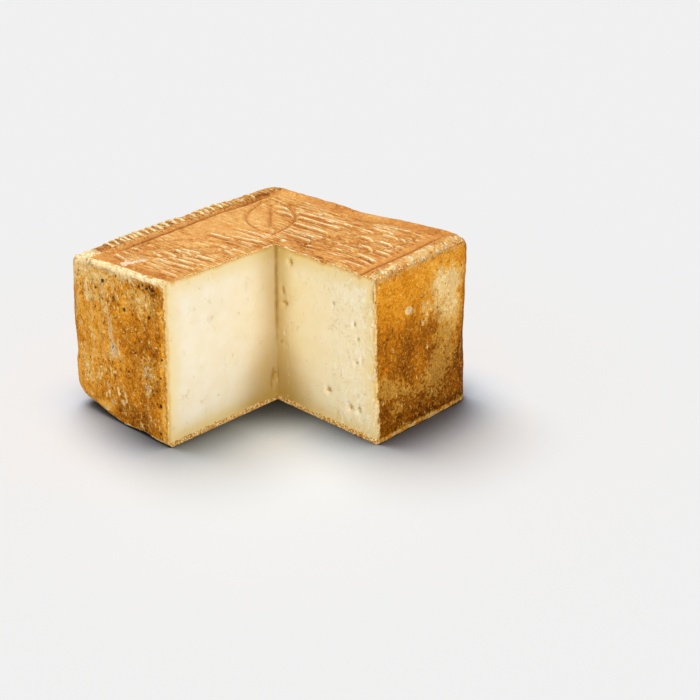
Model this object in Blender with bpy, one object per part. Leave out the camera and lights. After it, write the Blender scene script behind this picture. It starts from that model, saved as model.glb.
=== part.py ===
"""A square washed-rind cheese, about 18 cm across, with one quarter cut out of it.

Frame: metres, +Z up. The origin is the bottom centre of the cheese. The missing quarter is the one
towards +X and -Y. The press ribs of the top run along X.

One sharp L-shaped block is divided into small faces. Each vertex is then moved by the functions
below, which round, lean and swell the sides, lift the corners and press the relief into the rind.
"""

import math

import bmesh
import bpy
from mathutils import Vector, noise

# ---------------------------------------------------------------- driving dimensions, metres
HALF_SIDE = 0.090            # half the side of the square, at mid height
HEIGHT = 0.1107              # at the middle of the top
STEP_ALONG = 0.0015          # grid of the blank along the ribs
STEP_ACROSS = 0.0011         # grid of the blank across the ribs
STEP_UP = 0.0024             # grid of the blank up the sides
TRIANGLES = 11400            # of the finished solid

# The outer corners: rounding in plan, how far each is drawn out along X and Y, lift of the top,
# and the extra rounding of the top edge and of the foot.
CORNERS = {
    "left": {
        "sign": (-1, -1), "radius": 0.009, "draw": (0.0032, -0.0004),
        "lift": -0.0040, "brow": 0.0034, "foot": 0.0160,
    },
    "back": {
        "sign": (-1, 1), "radius": 0.015, "draw": (0.0, 0.0),
        "lift": 0.0003, "brow": 0.0010, "foot": 0.0030,
    },
    "right": {
        "sign": (1, 1), "radius": 0.011, "draw": (-0.0008, 0.0038),
        "lift": 0.0064, "brow": 0.0066, "foot": 0.0,
    },
}
CORNER_REACH = 0.030         # how far the extra rounding runs along the sides from its corner

# The four sides: how far each stands out of the square at the top, in the middle and at the base,
# and the rounding of its top edge.
SIDES = {
    "x-": {"top": -0.0002, "middle": 0.0036, "base": 0.0008, "edge": 0.0120},
    "x+": {"top": 0.0018, "middle": 0.0012, "base": 0.0036, "edge": 0.0040},
    "y-": {"top": 0.0004, "middle": 0.0006, "base": 0.0018, "edge": 0.0032},
    "y+": {"top": 0.0006, "middle": 0.0014, "base": 0.0004, "edge": 0.0065},
}
SWELL_FROM = 0.45            # share of the half side from which the cheese follows the swell
SKIN_FROM = 0.90             # share of the half side from which it follows the lumps of the rind
LUMPS = ({"height": 0.0011, "size": 0.030}, {"height": 0.0005, "size": 0.010})
LUMPS_RISE = 0.012           # height above the base at which the lumps are at their full size

BASE_EDGE = 0.0014           # rounding of the base edge
BASE_WAVE = {"height": 0.0008, "size": 0.009, "level": 0.3}
BASE_SETTLE = 0.00025        # the cheese has settled this far into its rounded base edge
BASE_FLAT = 0.00010          # what is lower than this is part of the flat base
FRONT_WEAR = 0.0016          # extra rounding of the base edge at the front
NICK = {"x": -0.025, "width": 0.008, "rise": 0.0030}     # a worn place in the front base edge

# The cuts: the one facing +X leans, and the one facing -Y runs askew.
CUT_X_TOP = 0.0006
CUT_X_BASE = -0.0003
CUT_Y_INNER = 0.0045
CUT_Y_OUTER = 0.0011
CUT_REACH = 0.020            # depth of cheese that follows a cut
CUT_LIP = {"out": 0.0009, "rise": 0.0026}    # the base crust stands a little proud of the cuts
# The side facing +X falls back towards the cut, the more so the higher up.
CUT_END = {"back": 0.0029, "from": 0.12, "along": 0.030}

# The mark of the press: a sunk field with a groove round it, and a raised rim outside.
FIELD = {"x": (-0.0692, 0.0765), "y": (-0.0830, 0.0790)}
FIELD_LEAN = 0.025           # slope of its left-hand line against Y
BORDER_WIDTH = 0.0060
BORDER_DEPTH = {"x-": 0.0024, "x+": 0.0012, "y-": 0.0010, "y+": 0.0005}
BORDER_BLEND = (0.3, 0.7)    # side shares between which one side's depth turns into the other's
RIM_RISE = 0.0008
RIM_RAMP = 0.004             # width of the slope up to the rim

# The press ribs: where each begins and ends, X and Y, and its share of the full height.
RIBS = (
    ((-0.025, 0.0755), (0.020, 0.0765), 0.35), ((-0.034, 0.0705), (-0.004, 0.0715), 0.35),
    ((-0.045, 0.0665), (-0.004, 0.0670), 0.40), ((-0.040, 0.0625), (0.012, 0.0630), 0.35),
    ((-0.051, 0.0565), (0.018, 0.0592), 0.85), ((-0.036, 0.0530), (-0.018, 0.0530), 0.40),
    ((-0.045, 0.0495), (0.017, 0.0508), 0.95), ((-0.021, 0.0395), (0.015, 0.0395), 1.00),
    ((-0.014, 0.0285), (0.018, 0.0285), 0.90), ((-0.048, 0.0255), (-0.032, 0.0255), 0.40),
    ((-0.008, 0.0225), (0.018, 0.0228), 0.75), ((-0.024, 0.0200), (-0.010, 0.0180), 0.50),
    ((-0.047, 0.0172), (-0.026, 0.0195), 0.50), ((-0.024, 0.0125), (-0.008, 0.0125), 0.40),
    ((-0.060, 0.0105), (-0.045, 0.0100), 0.30), ((-0.040, 0.0065), (-0.006, 0.0080), 0.60),
    ((-0.036, 0.0020), (-0.012, 0.0025), 0.55), ((0.013, 0.0160), (0.024, 0.0160), 0.30),
    ((0.014, 0.0095), (0.029, 0.0100), 0.60), ((-0.042, -0.0068), (-0.024, -0.0050), 0.50),
    ((-0.027, -0.0045), (-0.003, -0.0030), 0.80), ((-0.047, -0.0112), (-0.022, -0.0098), 0.95),
    ((-0.020, -0.0092), (-0.004, -0.0086), 0.75), ((-0.032, -0.0230), (-0.002, -0.0203), 0.60),
    ((-0.041, -0.0278), (-0.026, -0.0262), 0.45), ((-0.021, -0.0278), (-0.006, -0.0265), 0.80),
    ((-0.046, -0.0420), (-0.010, -0.0392), 0.55), ((-0.042, -0.0470), (-0.004, -0.0432), 1.00),
    ((-0.045, -0.0540), (-0.006, -0.0498), 0.90), ((-0.046, -0.0585), (-0.007, -0.0548), 0.90),
    ((-0.037, -0.0635), (-0.003, -0.0610), 0.75), ((-0.038, -0.0672), (-0.024, -0.0655), 0.50),
    ((-0.038, -0.0712), (-0.021, -0.0712), 0.70), ((-0.019, -0.0762), (-0.002, -0.0755), 0.80),
    ((-0.067, -0.0612), (-0.053, -0.0596), 0.70), ((-0.067, -0.0670), (-0.053, -0.0692), 0.65),
    ((-0.067, -0.0730), (-0.046, -0.0772), 0.80), ((-0.064, -0.0800), (-0.048, -0.0820), 0.40),
    ((-0.067, -0.0310), (-0.052, -0.0312), 0.35), ((-0.064, -0.0480), (-0.053, -0.0495), 0.40),
    ((0.034, 0.0750), (0.056, 0.0750), 0.35), ((0.024, 0.0705), (0.060, 0.0712), 0.65),
    ((0.058, 0.0695), (0.071, 0.0680), 0.35), ((0.026, 0.0652), (0.072, 0.0618), 0.55),
    ((0.022, 0.0578), (0.040, 0.0592), 0.70), ((0.040, 0.0595), (0.072, 0.0562), 0.80),
    ((0.030, 0.0475), (0.072, 0.0470), 1.00), ((0.023, 0.0445), (0.031, 0.0442), 0.45),
    ((0.056, 0.0392), (0.073, 0.0385), 0.80), ((0.043, 0.0362), (0.073, 0.0330), 1.00),
    ((0.023, 0.0400), (0.034, 0.0385), 0.35), ((0.024, 0.0285), (0.051, 0.0285), 0.70),
    ((0.032, 0.0225), (0.050, 0.0222), 0.55), ((0.052, 0.0242), (0.074, 0.0205), 1.00),
    ((0.045, 0.0162), (0.060, 0.0180), 0.55), ((0.060, 0.0180), (0.076, 0.0150), 0.65),
    ((0.054, 0.0100), (0.076, 0.0098), 0.65), ((0.060, 0.0075), (0.068, 0.0055), 0.50),
)
# Short ribs across the rim beside the left-hand side, Y and share of the full height.
RIM_RIBS = (
    (0.0570, 0.5), (0.0460, 0.4), (0.0365, 0.5), (0.0320, 0.5), (0.0268, 1.0), (0.0200, 0.8),
    (0.0150, 0.6), (0.0098, 1.0), (0.0035, 0.5), (-0.0070, 0.8), (-0.0138, 1.0), (-0.0205, 0.9),
    (-0.0260, 0.8), (-0.0320, 0.8), (-0.0372, 0.7), (-0.0425, 0.9), (-0.0465, 0.7), (-0.0500, 0.8),
    (-0.0535, 0.8), (-0.0565, 0.7), (-0.0615, 0.7), (-0.0665, 0.6),
)
RIM_RIB_TO = -0.0745         # X at which the rim's ribs end, above the border groove
RIB_WIDTH = 0.0010           # half width, at full height
RIB_HEIGHT = 0.0014
RIB_ENDS = 0.0022            # length over which a rib rises at its ends
RIB_WANDER = {"height": 0.0005, "size": 0.010}
RIB_PHASE = 7.3              # sets the noise of one rib apart from the next one's
TROUGH = {"offset": 1.9, "share": 0.40}      # a crease in front of each rib, in half widths
CLEAR_OF_BORDER = (0.0024, 0.0045)       # distances over which the ribs begin beside the border
CLEAR_OF_LEAF = (0.0016, 0.0034)         # and beside a leaf
TOP_WAVES = (
    {"height": 0.0009, "size": 0.035, "level": 2.0},
    {"height": 0.0003, "size": 0.006, "level": 4.0},
)
RELIEF_DEPTH = 0.008         # how far below the top the relief dies out
RELIEF_FULL = 0.001          # how far below the top it is still whole

# A pressed leaf in each quarter, lying along the diagonal.
LEAF_START = 0.020
LEAF_END = 0.092
LEAF_HALF_WIDTH = 0.0165
LEAF_VEIN = (0.20, 0.86)     # shares of the leaf's length between which the vein runs
LEAF_GROOVE_WIDTH = 0.0050
LEAF_GROOVE_DEPTH = 0.0016

# A place broken out of the top edge of the cut.
BREAK = {"x": 0.043, "y": 0.003, "radius": 0.0045, "depth": 0.0028}

# Small eyes in the two cut faces: how far along the face, how high up, radius and depth.
EYES = {
    "x": (
        (0.0025, 0.0170, 0.0024, 0.0012), (0.0410, 0.0450, 0.0013, 0.0005),
        (0.0630, 0.0520, 0.0013, 0.0004),
    ),
    "y": (
        (0.0130, 0.1015, 0.0016, 0.0018), (0.0075, 0.0715, 0.0020, 0.0013),
        (0.0060, 0.0790, 0.0017, 0.0010), (0.0475, 0.0230, 0.0021, 0.0013),
        (0.0660, 0.0170, 0.0019, 0.0013), (0.0740, 0.0180, 0.0015, 0.0012),
        (0.0540, 0.0850, 0.0014, 0.0008), (0.0730, 0.0500, 0.0016, 0.0009),
        (0.0780, 0.0530, 0.0014, 0.0008), (0.0205, 0.0945, 0.0015, 0.0006),
        (0.0600, 0.0750, 0.0013, 0.0006), (0.0720, 0.0760, 0.0014, 0.0008),
        (0.0750, 0.0670, 0.0014, 0.0008), (0.0085, 0.0420, 0.0018, 0.0007),
    ),
}
EYE_STRETCH = 0.7            # width of an eye as a share of its height

RIND = {"colour": (0.62, 0.25, 0.05, 1.0), "roughness": 0.65}
PASTE = {"colour": (0.90, 0.78, 0.52, 1.0), "roughness": 0.55}

FAR = 1.0                    # metres, further off than anything on the cheese
TINY = 1e-5                  # metres, nearer than any two neighbours on the blank
BELL_TAIL = 3.0              # a bell curve counts as zero this many half widths from its middle
NEARLY = 0.9                 # cosine above which two directions count as the same


def smooth(low, high, value):
    """Zero below low, one above high, and an even S between them."""
    t = min(max((value - low) / (high - low), 0.0), 1.0)
    return t * t * (3.0 - 2.0 * t)


def mix(a, b, t):
    return a + (b - a) * t


def bell(offset):
    """One in the middle and next to nothing at two half widths."""
    return math.exp(-offset * offset)


def wave(x, y, z, size):
    """Noise from about -1 to 1, with lumps of the given size."""
    return noise.noise(Vector((x, y, z)) / size)


# ---------------------------------------------------------------- outer form
def corner_share(x, y, corner):
    """One at a corner of the square, zero along the middle lines."""
    if x * corner["sign"][0] <= 0 or y * corner["sign"][1] <= 0:
        return 0.0
    return abs(x) / HALF_SIDE * abs(y) / HALF_SIDE


def corner_of(x, y):
    for corner in CORNERS.values():
        if x * corner["sign"][0] > 0 and y * corner["sign"][1] > 0:
            return corner
    return None


def side_share(x, y):
    """One where the nearest side faces along X, zero where it faces along Y."""
    inset_x = HALF_SIDE - abs(x)
    inset_y = HALF_SIDE - abs(y)
    total = inset_x + inset_y
    if total < TINY:
        return 0.5
    return inset_y / total


def side_names(x, y):
    return ("x+" if x > 0 else "x-"), ("y+" if y > 0 else "y-")


def near_corners(x, y, size):
    """The extra rounding that the corners give a place on an edge."""
    total = 0.0
    for corner in CORNERS.values():
        reach_x = x - corner["sign"][0] * HALF_SIDE
        reach_y = y - corner["sign"][1] * HALF_SIDE
        total += corner[size] * bell(math.hypot(reach_x, reach_y) / CORNER_REACH)
    return total


def base_radius(x, y):
    unevenness = BASE_WAVE["height"] * wave(x, y, BASE_WAVE["level"], BASE_WAVE["size"])
    radius = BASE_EDGE + unevenness + near_corners(x, y, "foot")
    if y < -HALF_SIDE / 2:
        radius += FRONT_WEAR * (1.0 - side_share(x, y))
        radius += NICK["rise"] * bell((x - NICK["x"]) / NICK["width"])
    return radius


def top_radius(x, y):
    name_x, name_y = side_names(x, y)
    edge = mix(SIDES[name_y]["edge"], SIDES[name_x]["edge"], side_share(x, y))
    return edge + near_corners(x, y, "brow")


def round_pair(inset, depth, radius):
    """Fold a sharp edge of the block into a quarter circle, from the two distances to its faces."""
    if inset >= radius or depth >= radius:
        return inset, depth
    a = radius - inset
    b = radius - depth
    scale = max(a, b) / math.hypot(a, b)
    return radius - a * scale, radius - b * scale


def round_block(x, y, z):
    """Round the top and base edges and the upright corners."""
    inset = HALF_SIDE - max(abs(x), abs(y))
    if z > HEIGHT / 2:
        new_inset, depth = round_pair(inset, HEIGHT - z, top_radius(x, y))
        z = HEIGHT - depth
    else:
        new_inset, z = round_pair(inset, z, base_radius(x, y))
        z = max(z - BASE_SETTLE * (1.0 - 2.0 * z / HEIGHT), 0.0)
    corner = corner_of(x, y)
    radius = corner["radius"] if corner else 0.0
    a = abs(x) - (HALF_SIDE - radius)
    b = abs(y) - (HALF_SIDE - radius)
    if corner and a > 0 and b > 0:
        turn = (radius - new_inset) / math.hypot(a, b)
        round_x = HALF_SIDE - radius + a * turn
        round_y = HALF_SIDE - radius + b * turn
        return math.copysign(round_x, x), math.copysign(round_y, y), z
    if abs(x) > abs(y):
        return math.copysign(HALF_SIDE - new_inset, x), y, z
    return x, math.copysign(HALF_SIDE - new_inset, y), z


def side_profile(side, share):
    """How far a side stands out at a share of the height, through its base, middle and top values."""
    base = side["base"] * (1.0 - share) * (1.0 - 2.0 * share)
    middle = side["middle"] * 4.0 * share * (1.0 - share)
    top = side["top"] * share * (2.0 * share - 1.0)
    return base + middle + top


def lean_sides(x, y, z):
    """Swell and lean the sides, with the dents and lumps of the rind."""
    name_x, name_y = side_names(x, y)
    share_x = abs(x) / HALF_SIDE
    share_y = abs(y) / HALF_SIDE
    lumps = sum(lump["height"] * wave(x, y, z, lump["size"]) for lump in LUMPS)
    lumps *= smooth(0.0, LUMPS_RISE, z)
    out_x = side_profile(SIDES[name_x], z / HEIGHT) * smooth(SWELL_FROM, 1.0, share_x)
    out_y = side_profile(SIDES[name_y], z / HEIGHT) * smooth(SWELL_FROM, 1.0, share_y)
    out_x += lumps * smooth(SKIN_FROM, 1.0, share_x)
    out_y += lumps * smooth(SKIN_FROM, 1.0, share_y)
    for corner in CORNERS.values():
        pull = corner_share(x, y, corner)
        out_x += corner["draw"][0] * pull
        out_y += corner["draw"][1] * pull
    if x > 0:
        risen = max(z / HEIGHT - CUT_END["from"], 0.0) / (1.0 - CUT_END["from"])
        beside = bell(y / CUT_END["along"]) * smooth(SWELL_FROM, 1.0, share_x)
        out_x -= CUT_END["back"] * risen * beside
    return x + out_x * math.copysign(1.0, x), y + out_y * math.copysign(1.0, y)


def set_cuts(x, y, z):
    """Move the two cut faces, and the cheese just behind them, to where the knife went."""
    by_x = 1.0 - smooth(0.0, CUT_REACH, abs(x))
    by_y = 1.0 - smooth(0.0, CUT_REACH, abs(y))
    lip = CUT_LIP["out"] * bell(z / CUT_LIP["rise"])
    shift_x = mix(CUT_X_BASE, CUT_X_TOP, z / HEIGHT) + lip
    shift_y = mix(CUT_Y_INNER, CUT_Y_OUTER, min(max(x / HALF_SIDE, 0.0), 1.0)) - lip
    shift_x *= by_x * (1.0 - smooth(0.0, CUT_REACH, y))
    shift_y *= by_y * (1.0 - smooth(0.0, CUT_REACH, -x))
    return x + shift_x, y + shift_y


# ---------------------------------------------------------------- relief of the rind
def make_ribs():
    """Every press rib: where it begins, its length and slope along X, and its strength."""
    rim = [((-FAR, y), (RIM_RIB_TO, y), strength) for y, strength in RIM_RIBS]
    ribs = []
    for number, (start, end, strength) in enumerate(list(RIBS) + rim):
        ribs.append({
            "start": start,
            "end": end[0],
            "slope": (end[1] - start[1]) / (end[0] - start[0]),
            "strength": strength,
            "phase": number * RIB_PHASE,
        })
    return ribs


def rib_relief(x, y, ribs):
    total = 0.0
    reach = RIB_WIDTH * (BELL_TAIL + TROUGH["offset"]) + RIB_WANDER["height"]
    for rib in ribs:
        line = rib["start"][1] + rib["slope"] * (x - rib["start"][0])
        if abs(y - line) > reach or not rib["start"][0] < x < rib["end"]:
            continue
        wander = RIB_WANDER["height"] * wave(x, rib["phase"], 0.0, RIB_WANDER["size"])
        offset = (y - line - wander) / RIB_WIDTH
        ends = min((x - rib["start"][0]) / RIB_ENDS, (rib["end"] - x) / RIB_ENDS, 1.0)
        crest = bell(offset) - TROUGH["share"] * bell(offset + TROUGH["offset"])
        total += rib["strength"] * ends * crest
    return RIB_HEIGHT * total


def field_distance(x, y):
    """Distance outside the line round the sunk field; negative inside it."""
    if x < 0:
        x += FIELD_LEAN * y
    middle_x = sum(FIELD["x"]) / 2
    middle_y = sum(FIELD["y"]) / 2
    half_x = (FIELD["x"][1] - FIELD["x"][0]) / 2
    half_y = (FIELD["y"][1] - FIELD["y"][0]) / 2
    return max(abs(x - middle_x) - half_x, abs(y - middle_y) - half_y)


def border_depth(x, y):
    name_x, name_y = side_names(x, y)
    share = smooth(*BORDER_BLEND, side_share(x, y))
    return mix(BORDER_DEPTH[name_y], BORDER_DEPTH[name_x], share)


def leaf_distance(x, y):
    """Distance from the outline or the vein of the leaf in this quarter."""
    along = (abs(x) + abs(y)) / math.sqrt(2)
    across = abs(abs(x) - abs(y)) / math.sqrt(2)
    share = (along - LEAF_START) / (LEAF_END - LEAF_START)
    if not 0 < share < 1:
        return FAR
    outline = abs(across - LEAF_HALF_WIDTH * 4 * share * (1 - share))
    vein = across if LEAF_VEIN[0] < share < LEAF_VEIN[1] else FAR
    return min(outline, vein)


def groove(distance, width, depth):
    if abs(distance) >= width / 2:
        return 0.0
    return -depth * (0.5 + 0.5 * math.cos(2 * math.pi * distance / width))


def top_relief(x, y, ribs):
    border = field_distance(x, y)
    leaf = leaf_distance(x, y)
    relief = RIM_RISE * smooth(0.0, RIM_RAMP, border)
    relief += groove(border, BORDER_WIDTH, border_depth(x, y))
    relief += groove(leaf, LEAF_GROOVE_WIDTH, LEAF_GROOVE_DEPTH)
    room = smooth(*CLEAR_OF_BORDER, abs(border)) * smooth(*CLEAR_OF_LEAF, leaf)
    relief += rib_relief(x, y, ribs) * room
    relief += sum(w["height"] * wave(x, y, w["level"], w["size"]) for w in TOP_WAVES)
    relief -= BREAK["depth"] * bell(math.hypot(x - BREAK["x"], y - BREAK["y"]) / BREAK["radius"])
    return relief


def lift_top(x, y, z, ribs):
    lift = sum(corner["lift"] * corner_share(x, y, corner) for corner in CORNERS.values())
    fade = smooth(HEIGHT - RELIEF_DEPTH, HEIGHT - RELIEF_FULL, z)
    return z + lift * z / HEIGHT + top_relief(x, y, ribs) * fade


def eye_depth(along, up, eyes):
    """How deep the eyes are at a place on a cut face."""
    total = 0.0
    for eye_along, eye_up, radius, depth in eyes:
        away = math.hypot(along - eye_along, (up - eye_up) * EYE_STRETCH) / radius
        if away < BELL_TAIL:
            total += depth * bell(away)
    return total


# ---------------------------------------------------------------- the solid
def divide(bm, direction, length, step):
    """Divide each edge that runs along a direction into steps."""
    edges = []
    for edge in bm.edges:
        run = edge.verts[1].co - edge.verts[0].co
        if abs(run.dot(direction)) > NEARLY * run.length:
            edges.append(edge)
    bmesh.ops.subdivide_edges(bm, edges=edges, cuts=round(length / step) - 1, use_grid_fill=True)


def make_blank():
    """The sharp L-shaped block, divided evenly along each axis."""
    bm = bmesh.new()
    h = HALF_SIDE
    outline = [(-h, -h), (0, -h), (0, 0), (h, 0), (h, h), (-h, h)]
    verts = [bm.verts.new((x, y, 0.0)) for x, y in outline]
    face = bm.faces.new(verts)
    grown = bmesh.ops.extrude_face_region(bm, geom=[face])
    risen = [item for item in grown["geom"] if isinstance(item, bmesh.types.BMVert)]
    bmesh.ops.translate(bm, verts=risen, vec=(0.0, 0.0, HEIGHT))
    for normal in (Vector((1, 0, 0)), Vector((0, 1, 0))):
        everything = bm.verts[:] + bm.edges[:] + bm.faces[:]
        bmesh.ops.bisect_plane(bm, geom=everything, plane_co=(0, 0, 0), plane_no=normal)
    bmesh.ops.recalc_face_normals(bm, faces=bm.faces)
    divide(bm, Vector((0, 0, 1)), HEIGHT, STEP_UP)
    divide(bm, Vector((1, 0, 0)), HALF_SIDE, STEP_ALONG)
    divide(bm, Vector((0, 1, 0)), HALF_SIDE, STEP_ACROSS)
    return bm


def paint_faces(bm):
    """Rind outside, paste on the two cut faces."""
    for face in bm.faces:
        middle = face.calc_center_median()
        facing_x = face.normal.x > NEARLY and abs(middle.x) < TINY
        facing_y = face.normal.y < -NEARLY and abs(middle.y) < TINY
        face.material_index = 1 if facing_x or facing_y else 0
        face.smooth = False


def shape(bm):
    ribs = make_ribs()
    for vert in bm.verts:
        x, y, z = vert.co
        on_cut_x = abs(x) < TINY and y < -TINY
        on_cut_y = abs(y) < TINY and x > TINY
        x, y, z = round_block(x, y, z)
        if on_cut_x:
            x -= eye_depth(-y, z, EYES["x"])
        if on_cut_y:
            y += eye_depth(x, z, EYES["y"])
        new_z = lift_top(x, y, z, ribs)
        x, y = lean_sides(x, y, z)
        x, y = set_cuts(x, y, z)
        vert.co = (x, y, new_z)


def centre(bm):
    """Bring the middle of the box over the origin."""
    xs = [vert.co.x for vert in bm.verts]
    ys = [vert.co.y for vert in bm.verts]
    shift = Vector((-(min(xs) + max(xs)) / 2, -(min(ys) + max(ys)) / 2, 0.0))
    bmesh.ops.translate(bm, verts=bm.verts, vec=shift)


def thin_out(cheese):
    """Keep the faces where the relief is, and leave the base flat."""
    fewer = cheese.modifiers.new("fewer faces", "DECIMATE")
    fewer.ratio = TRIANGLES / len(cheese.data.polygons)
    graph = bpy.context.evaluated_depsgraph_get()
    dense = cheese.data
    cheese.data = bpy.data.meshes.new_from_object(cheese.evaluated_get(graph))
    cheese.modifiers.remove(fewer)
    bpy.data.meshes.remove(dense)
    bm = bmesh.new()
    bm.from_mesh(cheese.data)
    low = [vert for vert in bm.verts if vert.co.z < BASE_FLAT]
    for vert in low:
        vert.co.z = 0.0
    bmesh.ops.remove_doubles(bm, verts=bm.verts, dist=BASE_FLAT)
    base = [face for face in bm.faces if all(vert.co.z == 0.0 for vert in face.verts)]
    bmesh.ops.dissolve_faces(bm, faces=base)
    bmesh.ops.triangulate(bm, faces=bm.faces)
    bm.to_mesh(cheese.data)
    bm.free()


def make_material(name, finish):
    material = bpy.data.materials.new(name)
    material.use_nodes = True
    shader = material.node_tree.nodes["Principled BSDF"]
    shader.inputs["Base Color"].default_value = finish["colour"]
    shader.inputs["Roughness"].default_value = finish["roughness"]
    shader.inputs["Metallic"].default_value = 0.0
    material.diffuse_color = finish["colour"]
    return material


def make_cheese(collection):
    bm = make_blank()
    paint_faces(bm)
    shape(bm)
    centre(bm)
    bmesh.ops.triangulate(bm, faces=bm.faces)
    mesh = bpy.data.meshes.new("cheese")
    bm.to_mesh(mesh)
    bm.free()
    mesh.materials.append(make_material("rind", RIND))
    mesh.materials.append(make_material("paste", PASTE))
    cheese = bpy.data.objects.new("cheese", mesh)
    collection.objects.link(cheese)
    thin_out(cheese)


def main():
    for obj in list(bpy.data.objects):
        bpy.data.objects.remove(obj, do_unlink=True)
    collection = bpy.data.collections.new("square cheese")
    bpy.context.scene.collection.children.link(collection)
    make_cheese(collection)


main()
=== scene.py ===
import math
import random

import bmesh
import bpy
from mathutils import Matrix, Vector, noise


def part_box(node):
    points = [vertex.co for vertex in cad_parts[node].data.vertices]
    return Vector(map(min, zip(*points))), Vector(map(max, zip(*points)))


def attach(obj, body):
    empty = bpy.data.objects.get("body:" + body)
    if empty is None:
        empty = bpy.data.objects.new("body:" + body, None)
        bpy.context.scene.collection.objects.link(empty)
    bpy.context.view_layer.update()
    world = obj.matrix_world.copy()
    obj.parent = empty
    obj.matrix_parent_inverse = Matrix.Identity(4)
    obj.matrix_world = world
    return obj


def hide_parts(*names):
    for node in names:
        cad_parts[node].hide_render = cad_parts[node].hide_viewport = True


# A square washed-rind cheese with one quarter cut out. Metres, Z up, the missing quarter at +X -Y.
# The block is shaped by the same sizes as its solid, with finer relief, and then painted by masks.

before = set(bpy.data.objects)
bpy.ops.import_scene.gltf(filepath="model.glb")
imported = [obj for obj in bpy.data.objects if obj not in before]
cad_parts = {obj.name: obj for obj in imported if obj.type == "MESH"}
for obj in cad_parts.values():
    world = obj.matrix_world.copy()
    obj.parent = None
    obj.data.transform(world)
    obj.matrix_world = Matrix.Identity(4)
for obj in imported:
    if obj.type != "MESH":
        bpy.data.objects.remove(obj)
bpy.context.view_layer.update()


def smooth(low, high, value):      # zero below low, one above high
    t = min(max((value - low) / (high - low), 0.0), 1.0)
    return t * t * (3.0 - 2.0 * t)


def mix(a, b, t):
    return a + (b - a) * t


def inMetres(rows, lengths):       # the first so many values of each row are in millimetres
    return [tuple(value / 1000 for value in row[:lengths]) + row[lengths:] for row in rows]


def bell(offset):
    return math.exp(-offset * offset)


def wave(x, y, z, size):           # noise from about -1 to 1, with lumps of this size
    return noise.noise(Vector((x, y, z)) / size)


# ---- the block
block = {
    "halfSide": 0.090,             # at mid height
    "height": 0.1107,              # at the middle of the top
    "stepX": 0.0012,               # grid of the mesh
    "stepY": 0.0007,
    "stepZ": 0.0014,
    "corners": [                   # rounding in plan, pull outwards, lift of the top, softer edges
        {"sign": (-1, -1), "radius": 0.009, "draw": (0.0032, -0.0004),
         "lift": -0.0040, "brow": 0.0034, "foot": 0.0160},
        {"sign": (-1, 1), "radius": 0.015, "draw": (0.0, 0.0),
         "lift": 0.0003, "brow": 0.0010, "foot": 0.0030},
        {"sign": (1, 1), "radius": 0.011, "draw": (-0.0008, 0.0038),
         "lift": 0.0064, "brow": 0.0066, "foot": 0.0},
    ],
    "cornerReach": 0.030,
    "sides": {                     # how far each side stands out, and the rounding of its top edge
        "x-": {"top": -0.0002, "middle": 0.0036, "base": 0.0008, "edge": 0.0120},
        "x+": {"top": 0.0018, "middle": 0.0012, "base": 0.0036, "edge": 0.0040},
        "y-": {"top": 0.0004, "middle": 0.0006, "base": 0.0018, "edge": 0.0032},
        "y+": {"top": 0.0006, "middle": 0.0014, "base": 0.0004, "edge": 0.0065},
    },
    "swellFrom": 0.45,             # shares of the half side
    "skinFrom": 0.90,
    "lumps": ((0.0011, 0.030), (0.0005, 0.010)),     # height and size
    "lumpsRise": 0.012,
    "skin": ((0.00022, 0.0045, 12.0), (0.00014, 0.0024, 15.0)),      # height, size and seed
    "creamRise": 0.00022,
    "creamFrom": (0.35, 0.62),
    "baseEdge": 0.0014,
    "baseWave": (0.0008, 0.009),
    "baseWaveLevel": 0.3,
    "baseSettle": 0.00025,
    "baseFlat": 0.00010,
    "frontWear": 0.0016,
    "nick": {"x": -0.025, "width": 0.008, "rise": 0.0030},
}
cut = {
    "xTop": 0.0006,                # the cut facing +X leans, the one facing -Y runs askew
    "xBase": -0.0003,
    "yInner": 0.0045,
    "yOuter": 0.0011,
    "reach": 0.020,
    "lipOut": 0.0009,
    "lipRise": 0.0026,
    "endBack": 0.0029,             # the side facing +X falls back towards the cut
    "endFrom": 0.12,
    "endAlong": 0.030,
    "eyeStretch": 0.7,
    "ragged": (0.00030, 0.0016),   # height and size of the crumbling along the cut's edges
    "raggedReach": 0.0016,
    "raggedFoot": (0.0010, 0.0040),
    "sharpFrom": math.radians(50), # edges that turn more than this are shaded sharp
}
eyes = {                           # along the cut, up, radius, depth; millimetres
    "x": ((2.5, 17, 2.4, 1.2), (41, 45, 1.3, 0.5), (63, 52, 1.3, 0.4)),
    "y": (
        (13, 101.5, 1.6, 1.8), (7.5, 71.5, 2, 1.3), (6, 79, 1.7, 1), (47.5, 23, 2.1, 1.3),
        (66, 17, 1.9, 1.3), (74, 18, 1.5, 1.2), (54, 85, 1.4, 0.8), (73, 50, 1.6, 0.9),
        (78, 53, 1.4, 0.8), (20.5, 94.5, 1.5, 0.6), (60, 75, 1.3, 0.6), (72, 76, 1.4, 0.8),
        (75, 67, 1.4, 0.8), (8.5, 42, 1.8, 0.7),
    ),
}
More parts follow.
